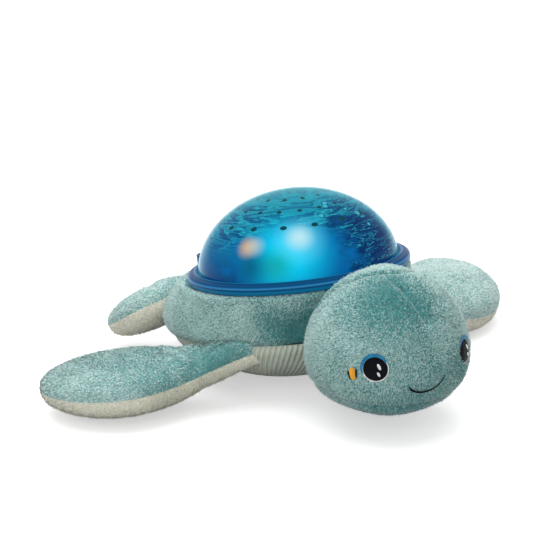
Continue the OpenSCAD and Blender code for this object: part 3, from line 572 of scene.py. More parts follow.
# Eyes: satin-stitch patches embroidered on the head, white with a blue lid, a black pupil and white glints.
# Each patch is a low cushion of thread that follows the head's curve.
STITCH_MID = np.array([0, -106, 46.0])
THREAD_ROWS, THREAD_DEEP, THREAD_SHADOW = 75, 0.0003, 0.75
PATCH_SUNK, PATCH_FALL = 0.25, 0.8
WHITE_SIZE, WHITE_LIFT = (7.9, 7.7), 0.9
PUPIL_SIZE, PUPIL_LIFT, PUPIL_IN, PUPIL_UP = (7.15, 7.0), 1.5, 0.2, 0.1
LID_FROM, LID_SPAN, LID_R, LID_WIDE, LID_THIN = 30, 175, 7.0, 1.9, 0.2
LID_LIFT, LID_CROWN = 1.0, 0.25
# Each glint: its place right and up from the eye's middle, and its half sizes.
GLINTS = {"glint": (2.3, 1.6, 1.0, 2.3), "glint_low": (2.2, -2.7, 0.9, 1.7)}
GLINT_TURN, GLINT_LIFT = 28, 1.85


def thread_material(name, colour, gloss=0.25):
    """Satin stitch: a fine straight ripple for the threads over one colour, with a soft gloss."""
    thread, tree, shader = new_finish(name, {"Roughness": 0.5, "Specular IOR Level": gloss})
    place = fitted(tree, "TexCoord", {}).outputs["Object"]
    rows = fitted(tree, "TexWave", {"Scale": THREAD_ROWS, "Distortion": 1.0}, Vector=place).outputs["Fac"]
    shadowed = [THREAD_SHADOW * c for c in colour]
    tree.links.new(graded(tree, rows, (0, shadowed), (1, colour)), shader.inputs["Base Color"])
    tree.links.new(embossed(tree, rows, 0.4, THREAD_DEEP), shader.inputs["Normal"])
    return thread


def stitched_patch(name, t0, a0, patch, thread):
    """Patch on the head: its x and y are grids of millimetres to the right and up from (t0, a0), turned
    into angles by the head's own steps there, and its lift is the thread's height above the velour."""
    x, y, lift = patch
    t0, a0 = math.radians(t0), FACE_A + math.radians(a0)
    h = 1e-3
    p = head_skin(np.array(t0), np.array(a0))
    per_t = np.linalg.norm(head_skin(np.array(t0 + h), np.array(a0)) - p) / h
    per_a = np.linalg.norm(head_skin(np.array(t0), np.array(a0 + h)) - p) / h
    skin = head_skin(t0 + y / per_t, a0 + x / per_a)
    outward = skin - STITCH_MID
    outward /= np.linalg.norm(outward, axis=-1, keepdims=True)
    piece = sheet_object(name, skin + outward * lift[..., None], wrap=False)
    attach(piece, "plush")
    piece.data.materials.append(thread)


def oval(cx, cy, rx, ry, turn, height):
    """Oval patch as rings from the edge in: x, y and a lift that is sunk at the edge and domed in the
    middle."""
    ring, angle = np.meshgrid(np.linspace(1, 0, 14), np.linspace(0, 2 * np.pi, 49), indexing="ij")
    x, y = rx * ring * np.cos(angle), ry * ring * np.sin(angle)
    c, s = math.cos(math.radians(turn)), math.sin(math.radians(turn))
    return cx + x * c - y * s, cy + x * s + y * c, height * np.sqrt(1 - PATCH_FALL * ring ** 4) - PATCH_SUNK


def lid(sign):
    """Lid patch: a band round the eye's upper edge that is widest in its middle and thins to both ends."""
    sweep = np.radians(np.linspace(LID_FROM, LID_FROM + LID_SPAN, 40))
    ring, angle = np.meshgrid(np.linspace(1, 0, 8), sweep, indexing="ij")
    fade = np.sin(np.pi * (angle - math.radians(LID_FROM)) / math.radians(LID_SPAN)) ** 0.5
    ring = LID_R + (LID_WIDE * fade + LID_THIN) * ring
    x, y, lift = ring * np.cos(angle), ring * np.sin(angle), LID_LIFT + LID_CROWN * fade
    return (-x[:, ::-1], y[:, ::-1], lift[:, ::-1]) if sign > 0 else (x, y, lift)


white_thread = thread_material("white_thread", (0.86, 0.86, 0.86))
black_thread = thread_material("black_thread", (0.004, 0.0045, 0.007), 0.05)
blue_thread = thread_material("blue_thread", (0.012, 0.17, 0.33))
for sign, word in ((-1, "right"), (1, "left")):
    t0, a0 = EYE_T, EYE_A[word]
    white = oval(0, 0, *WHITE_SIZE, 0, WHITE_LIFT)
    pupil = oval(PUPIL_IN * -sign, PUPIL_UP, *PUPIL_SIZE, 0, PUPIL_LIFT)
    stitched_patch(f"eye_white_{word}", t0, a0, white, white_thread)
    stitched_patch(f"eye_lid_{word}", t0, a0, lid(sign), blue_thread)
    stitched_patch(f"eye_pupil_{word}", t0, a0, pupil, black_thread)
    for glint, sizes in GLINTS.items():
        stitched_patch(f"eye_{glint}_{word}", t0, a0, oval(*sizes, GLINT_TURN, GLINT_LIFT), white_thread)

# Cheek marks: a small orange satin-stitch leaf outside each eye, edged with two black threads.
# The smile is one line of black stem stitch on the muzzle.
LEAF_SIZE, LEAF_TURN, LEAF_LIFT, LEAF_EDGE_LIFT = (2.2, 4.0), -12, 1.2, 1.4
LEAF_EDGE_X, LEAF_EDGE_Y, LEAF_EDGE_SIZE, LEAF_EDGE_TURN = 2.15, 0.8, (0.5, 3.0), -8
SMILE = [(-6, -12.5), (-11.5, -8.5), (-14, -2.5), (-13, 4), (-8, 10), (0, 14.5)]
SMILE_THICK = 0.7
orange_thread = thread_material("orange_thread", (0.83, 0.36, 0.03))
for sign, word in ((-1, "right"), (1, "left")):
    a0, turn = CHEEK_A[word], sign * LEAF_TURN
    stitched_patch(f"cheek_mark_{word}", CHEEK_T, a0, oval(0, 0, *LEAF_SIZE, turn, LEAF_LIFT), orange_thread)
    for edge, edge_word in ((-1, "out"), (1, "in")):
        leaf_edge = oval(edge * LEAF_EDGE_X, edge * LEAF_EDGE_Y, *LEAF_EDGE_SIZE,
                         turn + edge * LEAF_EDGE_TURN, LEAF_EDGE_LIFT)
        stitched_patch(f"cheek_edge_{word}_{edge_word}", CHEEK_T, a0, leaf_edge, black_thread)


def stitched_line(name, places, thick):
    """A thread laid on the head: a round tube along a smooth path of (t, a) places that thins towards
    its end."""
    places = np.radians(np.asarray(places, float))
    s = np.linspace(0, 1, 60)
    knots = np.linspace(0, 1, len(places))
    fit_t, fit_a = np.polyfit(knots, places[:, 0], 3), np.polyfit(knots, places[:, 1], 3)
    path = head_skin(np.polyval(fit_t, s), FACE_A + np.polyval(fit_a, s))
    out = path - STITCH_MID
    out /= np.linalg.norm(out, axis=-1, keepdims=True)
    run = np.gradient(path, axis=0)
    run /= np.linalg.norm(run, axis=-1, keepdims=True)
    cross = np.cross(run, out)
    turn = np.linspace(0, 2 * np.pi, 10, endpoint=False)
    size = thick * (1 - 0.65 * s) * np.minimum(1, 0.4 + 8 * s) * (1 + 0.12 * np.sin(2 * np.pi * 14 * s))
    around = np.cos(turn)[None, :, None] * out[:, None] + np.sin(turn)[None, :, None] * cross[:, None]
    tube = path[:, None] + out[:, None] * 1.1 + around * size[:, None, None]
    piece = sheet_object(name, tube[:, ::-1])
    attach(piece, "plush")
    return piece


smile = stitched_line("smile", SMILE, SMILE_THICK)
smile.data.materials.append(black_thread)

# Pocket lining: a tub of woven cloth sewn inside the body that the projector drops into.
# A covered elastic is sewn into its mouth and grips the tub's wall.
WEAVE_LIGHT, WEAVE_DARK, WEAVE_SCALE = (0.30, 0.44, 0.50, 1), (0.24, 0.36, 0.42, 1), 1200
LINING_PROFILE = [(61.2, -11.4), (60.7, -12.5), (60.6, -14.5), (55.4, -27), (50.4, -39.3), (49.2, -41.4),
                  (47.2, -42.5), (30, -42.6), (0, -42.6)]
ELASTIC_R, ELASTIC_W, ELASTIC_HALF = 62.25, -5.4, (1.1, 1.3)


def lathe(profile, columns=160, wave=0.0, waves=0):
    """A profile of (radius, height) carried round the projector's axis; the radius ripples by wave, as
    many times as waves says."""
    profile = np.asarray(profile, float)
    a = np.linspace(0, 2 * np.pi, columns, endpoint=False)
    r = profile[:, :1] + wave * np.sin(waves * a)[None, :]
    return from_rim(np.stack([r * np.cos(a), r * np.sin(a), np.broadcast_to(profile[:, 1:], r.shape)], -1))


woven_lining, weave_tree, weave_shader = new_finish("woven_lining", {"Roughness": 0.85})
weave_place = fitted(weave_tree, "TexCoord", {}).outputs["Object"]
weave = fitted(weave_tree, "TexChecker", {"Scale": WEAVE_SCALE, "Color1": WEAVE_LIGHT, "Color2": WEAVE_DARK},
               Vector=weave_place)
weave_tree.links.new(weave.outputs["Color"], weave_shader.inputs["Base Color"])
lining_piece = sheet_object("lining_cloth", lathe(LINING_PROFILE, wave=0.15, waves=22))
lining_piece.data.materials.append(woven_lining)
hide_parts("pocket_lining")
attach(lining_piece, "plush")
ring_turn = np.linspace(0, 2 * np.pi, 15)
elastic_profile = np.stack([ELASTIC_R - ELASTIC_HALF[0] * np.cos(ring_turn),
                            ELASTIC_W - ELASTIC_HALF[1] * np.sin(ring_turn)], -1)
elastic_piece = sheet_object("gathered_elastic", lathe(elastic_profile, 240, 0.12, 60))
elastic_piece.data.materials.append(woven_lining)
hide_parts("opening_elastic")
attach(elastic_piece, "plush")

# Tub, battery door and panel cover: moulded blue plastic with a fine spark-eroded grain.
# The door is held by one screw and the cells lie behind it.
# Deck, buttons, gears, cells and boards have their own plastics and coats.
FLOW_SCALE, FLOW_THIN, FLOW_THICK = 40, 0.82, 1.12
GRAIN_SCALE, GRAIN_DEEP = 2500, 0.0002


def moulded_material(name, colour, rough, grain, coat=0.0):
    """Moulded plastic: a fine noise for the tool's grain in the bump, and slight flow marks in the colour."""
    plastic, tree, shader = new_finish(name, {"Roughness": rough, "Coat Weight": coat})
    place = fitted(tree, "TexCoord", {}).outputs["Object"]
    thin, thick = [FLOW_THIN * c for c in colour], [min(1, FLOW_THICK * c) for c in colour]
    flow = graded(tree, mottled(tree, place, FLOW_SCALE), (0, thin), (1, thick))
    spark = embossed(tree, mottled(tree, place, GRAIN_SCALE), grain, GRAIN_DEEP)
    tree.links.new(flow, shader.inputs["Base Color"])
    tree.links.new(spark, shader.inputs["Normal"])
    return plastic


def finish_nodes(material, *names):
    """Gives nodes of the part one finish."""
    for name in names:
        mesh = nodes_of_part[name].data
        mesh.materials.clear()
        mesh.materials.append(material)


finish_nodes(moulded_material("housing_plastic", (0.045, 0.20, 0.31), 0.45, 0.35),
             "base_tub", "battery_door", "panel_cover")
finish_nodes(moulded_material("white_plastic", (0.78, 0.79, 0.78), 0.4, 0.25), "chassis_deck")
finish_nodes(moulded_material("button_plastic", (0.80, 0.84, 0.85), 0.35, 0.15),
             "button_light", "button_sound", "button_timer")
finish_nodes(moulded_material("black_plastic", (0.02, 0.02, 0.022), 0.5, 0.3), "speaker", "tact_switches")
finish_nodes(moulded_material("gasket_foam", (0.03, 0.035, 0.04), 0.9, 0.6), "dome_gasket")
finish_nodes(moulded_material("gear_acetal", (0.80, 0.80, 0.77), 0.38, 0.15), "wave_gear", "idler_gear")
finish_nodes(moulded_material("cell_sleeve", (0.10, 0.11, 0.12), 0.35, 0.1, 0.5), "battery_cells")
finish_nodes(moulded_material("solder_mask", (0.015, 0.11, 0.05), 0.35, 0.2, 0.4),
             "led_board", "main_board", "switch_board")

# Screws, pin, motor, contacts and pinion: plated steel and brass, turned or stamped.
# Their faces keep fine tool marks.
TOOL_MARKS, MARKS_STRENGTH, MARKS_DEEP = (400, 400, 4000), 0.15, 0.0001
SMOOTHER, ROUGHER = 0.8, 1.3


def metal_material(name, colour, rough):
    """Plated metal: stretched noise as tool marks in the roughness and the bump."""
    metal, tree, shader = new_finish(name, {"Base Color": (*colour, 1), "Metallic": 1.0})
    place = fitted(tree, "TexCoord", {}).outputs["Object"]
    stretch = fitted(tree, "Mapping", {"Scale": TOOL_MARKS}, Vector=place)
    marks = mottled(tree, stretch.outputs["Vector"], 1.0)
    spread = fitted(tree, "MapRange", {"To Min": rough * SMOOTHER, "To Max": rough * ROUGHER}, Value=marks)
    tree.links.new(spread.outputs["Result"], shader.inputs["Roughness"])
    tree.links.new(embossed(tree, marks, MARKS_STRENGTH, MARKS_DEEP), shader.inputs["Normal"])
    return metal


finish_nodes(metal_material("plated_steel", (0.62, 0.62, 0.64), 0.32),
             "deck_screws", "door_screw", "panel_screws", "idler_pin", "motor", "battery_contacts")
finish_nodes(metal_material("turned_brass", (0.70, 0.50, 0.20), 0.3), "motor_pinion")

# Lamp and lenses: three bare emitters under a clear moulded lens, and the rippled disc that turns above it.
# The lenses are polished acrylic.
ACRYLIC_IOR, SLOW_SCALE, SLOW_STRENGTH, SLOW_DEEP = 1.49, 120, 0.1, 0.001


def clear_material(name, tint, rough, ripple=0.0):
    """Clear acrylic: full transmission with a faint tint and a slow noise in its surface."""
    acrylic, tree, shader = new_finish(name, {"Base Color": (*tint, 1), "Roughness": rough,
                                              "IOR": ACRYLIC_IOR, "Transmission Weight": 1.0})
    place = fitted(tree, "TexCoord", {}).outputs["Object"]
    slow = embossed(tree, mottled(tree, place, SLOW_SCALE), SLOW_STRENGTH + ripple, SLOW_DEEP)
    tree.links.new(slow, shader.inputs["Normal"])
    return acrylic


finish_nodes(clear_material("lens_acrylic", (0.95, 0.98, 1.0), 0.03), "collimator_lens")
finish_nodes(clear_material("ripple_acrylic", (0.90, 0.97, 1.0), 0.04, 0.3), "wave_lens")
finish_nodes(moulded_material("emitter_resin", (0.85, 0.72, 0.30), 0.25, 0.1, 0.6), "led_emitters")

# Image dome: a thin clear inner shell printed with soft teal shapes, standing on the deck over the
# ripple lens. The print glows by its colour as painted lamp light through it, and only shows as a
# glow in the tinted dome.
PRINT_UNDER, PRINT_OVER, PRINT_SCALE = (0.02, 0.30, 0.46), (0.10, 0.52, 0.62), 60
PRINT_TWIST, PRINT_EDGES = 0.5, (0.50, 0.54)


def rim_coordinates(tree):
    """Object coordinates turned into the projector's own frame, in metres."""
    c, s = math.cos(TILT), math.sin(TILT)
    origin = (0, -(RIM_Y * c - RIM_Z * s) / 1000, -(RIM_Y * s + RIM_Z * c) / 1000)
    place = fitted(tree, "TexCoord", {}).outputs["Object"]
    turn = {"Rotation": (TILT, 0, 0), "Location": origin}
    return fitted(tree, "Mapping", turn, Vector=place).outputs["Vector"]


def tinted(tree, share, under, over):
    """A colour laid over another by a share; each colour is a socket or three numbers."""
    n = tree.nodes.new("ShaderNodeMix")
    n.data_type = "RGBA"
    tree.links.new(share, n.inputs["Factor"])
    for socket, value in ((n.inputs[6], under), (n.inputs[7], over)):
        if isinstance(value, tuple):
            socket.default_value = (*value, 1)
        else:
            tree.links.new(value, socket)
    return n.outputs[2]


def wavy(tree, place, across, upright, distortion):
    """Noise stretched along the projector's rings."""
    stretch = fitted(tree, "Mapping", {"Scale": (across, across, upright)}, Vector=place)
    return mottled(tree, stretch.outputs["Vector"], scale=1.0, detail=3, distortion=distortion)


# The print's Emission Strength makes it glow as painted lamp light.
image_film, film, film_shader = new_finish("printed_film", {"Roughness": 0.25, "Emission Strength": 0.3})
film_shapes = wavy(film, rim_coordinates(film), PRINT_SCALE, PRINT_SCALE, PRINT_TWIST)
film_print = stepped(film, film_shapes, *PRINT_EDGES)
film_colour = tinted(film, film_print, PRINT_UNDER, PRINT_OVER)
film.links.new(film_colour, film_shader.inputs["Base Color"])
film.links.new(film_colour, film_shader.inputs["Emission Color"])
finish_nodes(image_film, "image_dome")

# Rim bezel: blue tinted gloss plastic that clamps the dome, with a moulded double line round its top.
# The bead that makes the line is part of the same moulding. The rim glows by its colours: its own
# blue bands with painted highlight lines and painted shade lines in the groove by the dome.
RIM_BLUE = (0.001, 0.02, 0.05)
RIM_GLOSS_AND_GLOW = {"Specular IOR Level": 0.06, "Specular Tint": (0.2, 0.75, 0.9, 1), "Emission Strength": 1.05}
# The top's colours by share of its width outwards, and the wall's by share of its height upwards:
# the rim's own blue bands, with painted highlight lines and painted shade lines.
RIM_TOP_R, RIM_TOP_WIDE, RIM_WALL_W, RIM_WALL_TALL = 60.5, 7.5, -5, 8
RIM_TOP_BANDS_AND_PAINTED_LINES = ((0, (0.001, 0.015, 0.06)), (0.22, (0.001, 0.015, 0.07)), (0.32, (0.03, 0.21, 0.42)),
                 (0.45, (0.002, 0.05, 0.14)), (0.62, (0.001, 0.012, 0.06)), (0.82, (0.004, 0.10, 0.22)),
                 (1, (0.001, 0.07, 0.135)))
RIM_WALL_BANDS_AND_PAINTED_LINES = ((0, (0.001, 0.02, 0.065)), (0.25, (0.002, 0.075, 0.15)), (0.55, (0.003, 0.10, 0.20)),
                  (0.68, (0.001, 0.014, 0.07)), (0.80, (0.03, 0.19, 0.38)), (0.9, (0.002, 0.05, 0.16)),
                  (1, (0.001, 0.022, 0.09)))
RIM_EDGE = (0.0655, 0.0668)
BEAD_R, BEAD_W, BEAD_HALF = 63.3, 3.3, 0.9
rim_gloss = moulded_material("rim_plastic", RIM_BLUE, 0.3, 0.05)
rim_tree = rim_gloss.node_tree
rim_shader = rim_tree.nodes["Principled BSDF"]
for socket, value in RIM_GLOSS_AND_GLOW.items():
    rim_shader.inputs[socket].default_value = value
rim_u, rim_v, rim_w = fitted(rim_tree, "SeparateXYZ", {}, Vector=rim_coordinates(rim_tree)).outputs
rim_v2 = worked(rim_tree, "MULTIPLY", rim_v, rim_v)
rim_far = worked(rim_tree, "SQRT", worked(rim_tree, "MULTIPLY_ADD", rim_u, rim_u, rim_v2))
top_share = worked(rim_tree, "MULTIPLY_ADD", rim_far, 1000 / RIM_TOP_WIDE, -RIM_TOP_R / RIM_TOP_WIDE)
wall_share = worked(rim_tree, "MULTIPLY_ADD", rim_w, 1000 / RIM_WALL_TALL, -RIM_WALL_W / RIM_WALL_TALL)
rim_top = graded(rim_tree, top_share, *RIM_TOP_BANDS_AND_PAINTED_LINES)
rim_wall = graded(rim_tree, wall_share, *RIM_WALL_BANDS_AND_PAINTED_LINES)
# The rim's glow carries its colours: its blue with painted highlight and painted shade lines.
rim_painted_light = tinted(rim_tree, stepped(rim_tree, rim_far, *RIM_EDGE), rim_top, rim_wall)
rim_tree.links.new(rim_painted_light, rim_shader.inputs["Emission Color"])
finish_nodes(rim_gloss, "rim_bezel")
bead_turn = np.linspace(0, np.pi, 9)
bead_profile = np.stack([BEAD_R + BEAD_HALF * np.cos(bead_turn), BEAD_W + BEAD_HALF * np.sin(bead_turn)], -1)
rim_bead = sheet_object("rim_bead", lathe(bead_profile, 220))
rim_bead.data.materials.append(rim_gloss)
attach(rim_bead, "projector")

# Outer dome: deep blue tinted polycarbonate, moulded with water ripples over its crown and polished.
# Rings of small light holes run round it. The whole shell glows by its colour as painted light from
# the lamp inside, with pools of painted cyan and warm lamp light and of painted shade on its front,
# and a painted teal edge highlight.
DOME_R, DOME_H = 61.0, 47.8
# Its Emission Strength makes the shell glow by its colour, as painted light from the lamp inside.
DOME_FINISH = {"Roughness": 0.05, "IOR": 1.38, "Specular IOR Level": 0.06,
               "Specular Tint": (0.25, 0.9, 0.95, 1), "Transmission Weight": 0.06,
               "Emission Strength": 0.8}
# Painted light and shade by height: the shell is darkest at its foot and lightest at its crown.
DOME_SHADE_BY_HEIGHT = ((0, (0.002, 0.03, 0.11)), (0.2, (0.002, 0.065, 0.20)), (0.5, (0.003, 0.13, 0.27)),
                (0.75, (0.007, 0.19, 0.29)), (1, (0.012, 0.24, 0.31)))
# The smooth window in front, flattened by its rise, and the calm side beside it: a centre and a reach.
WINDOW_RISE, WINDOW, WINDOW_REACH, WINDOW_BLUE = 1.9, (-35, -45.5, 12), 48, (0.002, 0.12, 0.34)
WINDOW_CORE, WINDOW_RAGGED, WINDOW_SHARE = 0.65, 16, 0.8
CALM, CALM_REACH, CALM_CORE, CALM_HEIGHTS = (-56, 10, 8), 60, 0.7, (0.027, 0.017)
CROWN_HEIGHTS, CROWN_FAINT = (0.036, 0.046), 0.55
RIPPLE_ACROSS, RIPPLE_UPRIGHT, RIPPLE_TWIST = 45, 360, 1.8
RIPPLE_STRENGTH, RIPPLE_DEEP = 0.3, 0.0012
HOLLOW_LEVELS, HOLLOW_SHARE, HOLLOW_BLUE = (0.52, 0.40), 0.75, (0.002, 0.05, 0.17)
# Each ripple line: the noise level that it follows, its share and its colour.
RIPPLE_LINES = ((0.46, 0.95, (0.001, 0.02, 0.085)), (0.54, 0.7, (0.02, 0.38, 0.47)))
LINE_EDGES = (0.02, 0.006)
# A pool of painted shade on the shell's front, beside the lamp's painted light.
SHADED_SIDE, DARK_REACH, SHADE_BLUE = (17, -56, 16), 42, (0.002, 0.02, 0.10)
DARK_CORE, DARK_RAGGED, DARK_SHARE = 0.4, 20, 0.9
# Each pool of painted lamp light, warm and cyan, and one of painted shade: its centre in the
# projector's frame, its reach in millimetres, its share and its colour.
LAMP_LIGHT_AND_SHADE_POOLS = (((-36, -43, 18), 36, 1.0, (0.003, 0.54, 0.78)), ((-42, -40, 13), 16, 0.75, (0.006, 0.28, 0.25)),
              ((-49, -26, 12), 17, 0.8, (0.002, 0.055, 0.11)), ((-26, -43, 26), 20, 0.4, (0.20, 0.56, 0.68)),
              ((-26, -43, 27), 11.5, 0.85, (0.42, 0.62, 0.66)), ((-48, -21, 23), 9, 0.85, (0.56, 0.34, 0.17)),
              ((-46, -25.5, 23.5), 8.5, 0.6, (0.42, 0.48, 0.44)))
# Each ring of holes: their number, their angle up the dome in degrees, and half sizes in millimetres.
HOLE_RINGS = ((15, 43, 2.1, 1.0), (17, 57, 1.5, 0.6), (12, 70, 1.4, 0.45))
HOLE_DARK, HOLE_EDGES = (0.003, 0.045, 0.055), (1.25, 0.7)
DROP_SCALE, DROP_STRAY, DROP_EDGE = 125, 0.8, 0.05
DROPS, DROPS_REACH, DROPS_EDGES = (12, -36, 36), 33, (0.25, 0.4)
# Each ring of a drop: its reach in cells, its share and its colour.
DROP_RINGS = ((0.33, 0.8, (0.002, 0.045, 0.12)), (0.25, 0.8, (0.05, 0.42, 0.52)),
              (0.14, 0.7, (0.006, 0.20, 0.30)))
# A painted teal highlight along the shell's edges, where it is seen at a grazing angle.
EDGE_FACING, EDGE_SHARE, EDGE_HIGHLIGHT_TEAL = (0.55, 0.92), 0.6, (0.025, 0.29, 0.37)
UNLIT_VALUE = 0.4
dome_tint, dome, dome_shader = new_finish("tinted_dome", DOME_FINISH)
dome_place = rim_coordinates(dome)
dome_u, dome_v, dome_w = fitted(dome, "SeparateXYZ", {}, Vector=dome_place).outputs


def times(one, other):
    """Product in the dome's nodes."""
    return worked(dome, "MULTIPLY", one, other)


def rest_of(share):
    """What a share leaves of 1."""
    return worked(dome, "SUBTRACT", 1.0, share)


def ring_of_holes(count, rise, long, tall):
    """1 inside evenly spaced ovals round the dome at an angle of rise; long and tall are half sizes
    in millimetres."""
    turn = worked(dome, "ARCTAN2", dome_v, dome_u)
    cell = worked(dome, "SUBTRACT", worked(dome, "FRACT", times(turn, count / (2 * math.pi))), 0.5)
    step = 2 * math.pi / count * DOME_R * math.cos(rise)
    x = times(cell, step / long)
    y = worked(dome, "MULTIPLY_ADD", dome_w, 1000 / tall, -DOME_H * math.sin(rise) / tall)
    far = worked(dome, "ADD", times(x, x), times(y, y))
    return stepped(dome, far, *HOLE_EDGES)


low_place = dome.nodes.new("ShaderNodeVectorMath")
low_place.operation = "MULTIPLY"
low_place.inputs[1].default_value = (1, 1, WINDOW_RISE)
dome.links.new(dome_place, low_place.inputs[0])
low_window = (*WINDOW[:2], WINDOW[2] * WINDOW_RISE)
window = pool(dome, low_place.outputs[0], low_window, WINDOW_REACH, WINDOW_CORE, WINDOW_RAGGED)
calm = times(stepped(dome, dome_w, *CALM_HEIGHTS), pool(dome, dome_place, CALM, CALM_REACH, CALM_CORE))
faint = times(stepped(dome, dome_w, *CROWN_HEIGHTS), CROWN_FAINT)
rippled = times(rest_of(faint), rest_of(worked(dome, "MAXIMUM", window, calm)))
ripples = wavy(dome, dome_place, RIPPLE_ACROSS, RIPPLE_UPRIGHT, RIPPLE_TWIST)
hollow = times(stepped(dome, ripples, *HOLLOW_LEVELS), times(rippled, HOLLOW_SHARE))
dome_colour = tinted(dome, hollow, graded(dome, times(dome_w, 1000 / DOME_H), *DOME_SHADE_BY_HEIGHT), HOLLOW_BLUE)
# Painted shade on the shell's front.
shaded_side = pool(dome, dome_place, SHADED_SIDE, DARK_REACH, DARK_CORE, DARK_RAGGED)
dome_colour = tinted(dome, times(shaded_side, DARK_SHARE), dome_colour, SHADE_BLUE)
for level, share, colour in RIPPLE_LINES:
    off_line = worked(dome, "ABSOLUTE", worked(dome, "SUBTRACT", ripples, level))
    ripple_line = times(stepped(dome, off_line, *LINE_EDGES), times(rippled, share))
    dome_colour = tinted(dome, ripple_line, dome_colour, colour)
dome_colour = tinted(dome, times(window, WINDOW_SHARE), dome_colour, WINDOW_BLUE)
# Pools of painted lamp light, with one of painted shade.
for centre, reach, share, colour in LAMP_LIGHT_AND_SHADE_POOLS:
    dome_colour = tinted(dome, times(pool(dome, dome_place, centre, reach), share), dome_colour, colour)
for count, rise, long, tall in HOLE_RINGS:
    dome_colour = tinted(dome, ring_of_holes(count, math.radians(rise), long, tall), dome_colour, HOLE_DARK)
drop_cells = fitted(dome, "TexVoronoi", {"Scale": DROP_SCALE, "Randomness": DROP_STRAY}, Vector=dome_place)
drops = drop_cells.outputs["Distance"]
drop_zone = stepped(dome, pool(dome, dome_place, DROPS, DROPS_REACH), *DROPS_EDGES)
for reach, share, colour in DROP_RINGS:
    inside = times(stepped(dome, drops, reach, reach - DROP_EDGE), share)
    dome_colour = tinted(dome, times(inside, drop_zone), dome_colour, colour)
# Painted teal edge highlight where the shell is seen edge-on.
facing = fitted(dome, "LayerWeight", {}).outputs["Facing"]
dome_colour = tinted(dome, times(stepped(dome, facing, *EDGE_FACING), EDGE_SHARE), dome_colour, EDGE_HIGHLIGHT_TEAL)
shaded = fitted(dome, "HueSaturation", {"Value": UNLIT_VALUE}, Color=dome_colour)
dome.links.new(shaded.outputs["Color"], dome_shader.inputs["Base Color"])
# The shell's colour is also its glow: painted lamp light.
dome.links.new(dome_colour, dome_shader.inputs["Emission Color"])
dome_relief = embossed(dome, times(ripples, rippled), RIPPLE_STRENGTH, RIPPLE_DEEP)
dome.links.new(dome_relief, dome_shader.inputs["Normal"])
finish_nodes(dome_tint, "dome_shell")

# Studio: a pale matt floor, one large soft light above, a fill from the left and an even white world.
# The floor is paler to the camera than to the object, so that it throws little light back on the plush.
# The camera stands at the photograph's angle and distance.
FLOOR_HALF, FLOOR_Z = 4.0, -0.0005
FLOOR_FINISH = {"Roughness": 0.9, "Emission Color": (1, 1, 1, 1)}
FLOOR_DULL, FLOOR_PALE, FLOOR_GLOW = (0.5, 0.5, 0.5), (0.72, 0.72, 0.72), 0.5
WORLD_STRENGTH = 0.7
LIGHT_AIM = (0, 0, 0.05)
CAMERA_AZIMUTH, CAMERA_HEIGHT = math.radians(-34.83), math.radians(20.67)
CAMERA_AIM, CAMERA_FAR = (0, 0.0083, 0.0554), 1.785
SENSOR, FOCUS_PIXELS, PICTURE_PIXELS = 36.0, 2905, 550
floor_mesh = bpy.data.meshes.new("studio_floor")
floor_corners = [(x * FLOOR_HALF, y * FLOOR_HALF, FLOOR_Z) for x, y in ((-1, -1), (1, -1), (1, 1), (-1, 1))]
floor_mesh.from_pydata(floor_corners, [], [(0, 1, 2, 3)])
studio_floor = bpy.data.objects.new("studio_floor", floor_mesh)
bpy.context.scene.collection.objects.link(studio_floor)
floor_paint, floor_tree, floor_shader = new_finish("floor_paint", FLOOR_FINISH)
rays = fitted(floor_tree, "LightPath", {}).outputs
mirrored = worked(floor_tree, "MAXIMUM", rays["Is Glossy Ray"], rays["Is Transmission Ray"])
floor_seen = worked(floor_tree, "MAXIMUM", rays["Is Camera Ray"], mirrored)
floor_colour = tinted(floor_tree, floor_seen, FLOOR_DULL, FLOOR_PALE)
floor_glow = worked(floor_tree, "MULTIPLY", floor_seen, FLOOR_GLOW)
floor_tree.links.new(floor_colour, floor_shader.inputs["Base Color"])
floor_tree.links.new(floor_glow, floor_shader.inputs["Emission Strength"])
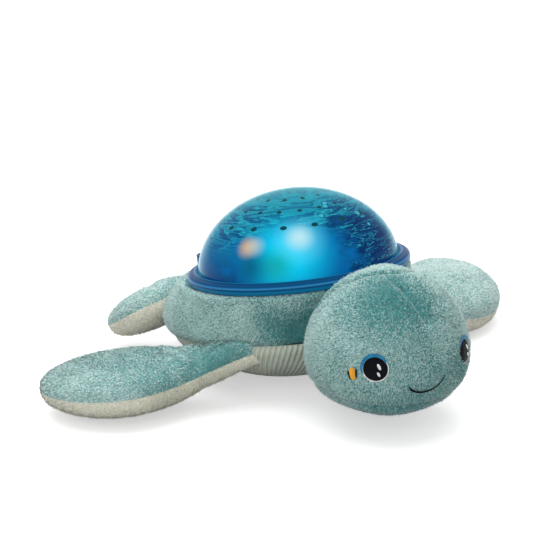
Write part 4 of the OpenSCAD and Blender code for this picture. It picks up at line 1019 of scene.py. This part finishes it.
floor_mesh.materials.append(floor_paint)
world = bpy.data.worlds.new("studio")
bpy.context.scene.world = world
world.use_nodes = True
world.node_tree.nodes["Background"].inputs["Color"].default_value = (1, 1, 1, 1)
world.node_tree.nodes["Background"].inputs["Strength"].default_value = WORLD_STRENGTH


def placed(x, y, z, place):
    """Matrix of an object at a place whose own axes point along x, y and z."""
    turn = np.eye(4)
    for column, values in enumerate((x, y, z, place)):
        turn[:3, column] = values
    return Matrix(turn.tolist())


def softbox(name, place, size, watts):
    """A square area light that faces the object and is not mirrored in the dome."""
    light = bpy.data.lights.new(name, "AREA")
    light.size = size
    light.energy = watts
    lamp = bpy.data.objects.new(name, light)
    bpy.context.scene.collection.objects.link(lamp)
    lamp.visible_glossy = False
    z = np.asarray(place, float) - np.asarray(LIGHT_AIM, float)
    z /= np.linalg.norm(z)
    x = np.cross((0, 0, 1.0) if abs(z[2]) < 0.95 else (0, 1.0, 0), z)
    x /= np.linalg.norm(x)
    lamp.matrix_world = placed(x, np.cross(z, x), z, place)


softbox("top_box", place=(-0.1, 0.1, 1.5), size=1.6, watts=20)
softbox("left_box", place=(-1.2, -1.0, 0.9), size=0.8, watts=6)
camera_data = bpy.data.cameras.new("photo_camera")
camera_data.sensor_fit = "HORIZONTAL"
camera_data.sensor_width = SENSOR
camera_data.lens = SENSOR * FOCUS_PIXELS / PICTURE_PIXELS
camera = bpy.data.objects.new("photo_camera", camera_data)
bpy.context.scene.collection.objects.link(camera)
camera_back = np.array([math.sin(CAMERA_AZIMUTH) * math.cos(CAMERA_HEIGHT),
                        -math.cos(CAMERA_AZIMUTH) * math.cos(CAMERA_HEIGHT), math.sin(CAMERA_HEIGHT)])
camera_right = np.array([math.cos(CAMERA_AZIMUTH), math.sin(CAMERA_AZIMUTH), 0])
camera.matrix_world = placed(camera_right, np.cross(camera_back, camera_right), camera_back,
                             np.array(CAMERA_AIM) + CAMERA_FAR * camera_back)
bpy.context.scene.camera = camera
bpy.context.scene.view_settings.view_transform = "Standard"
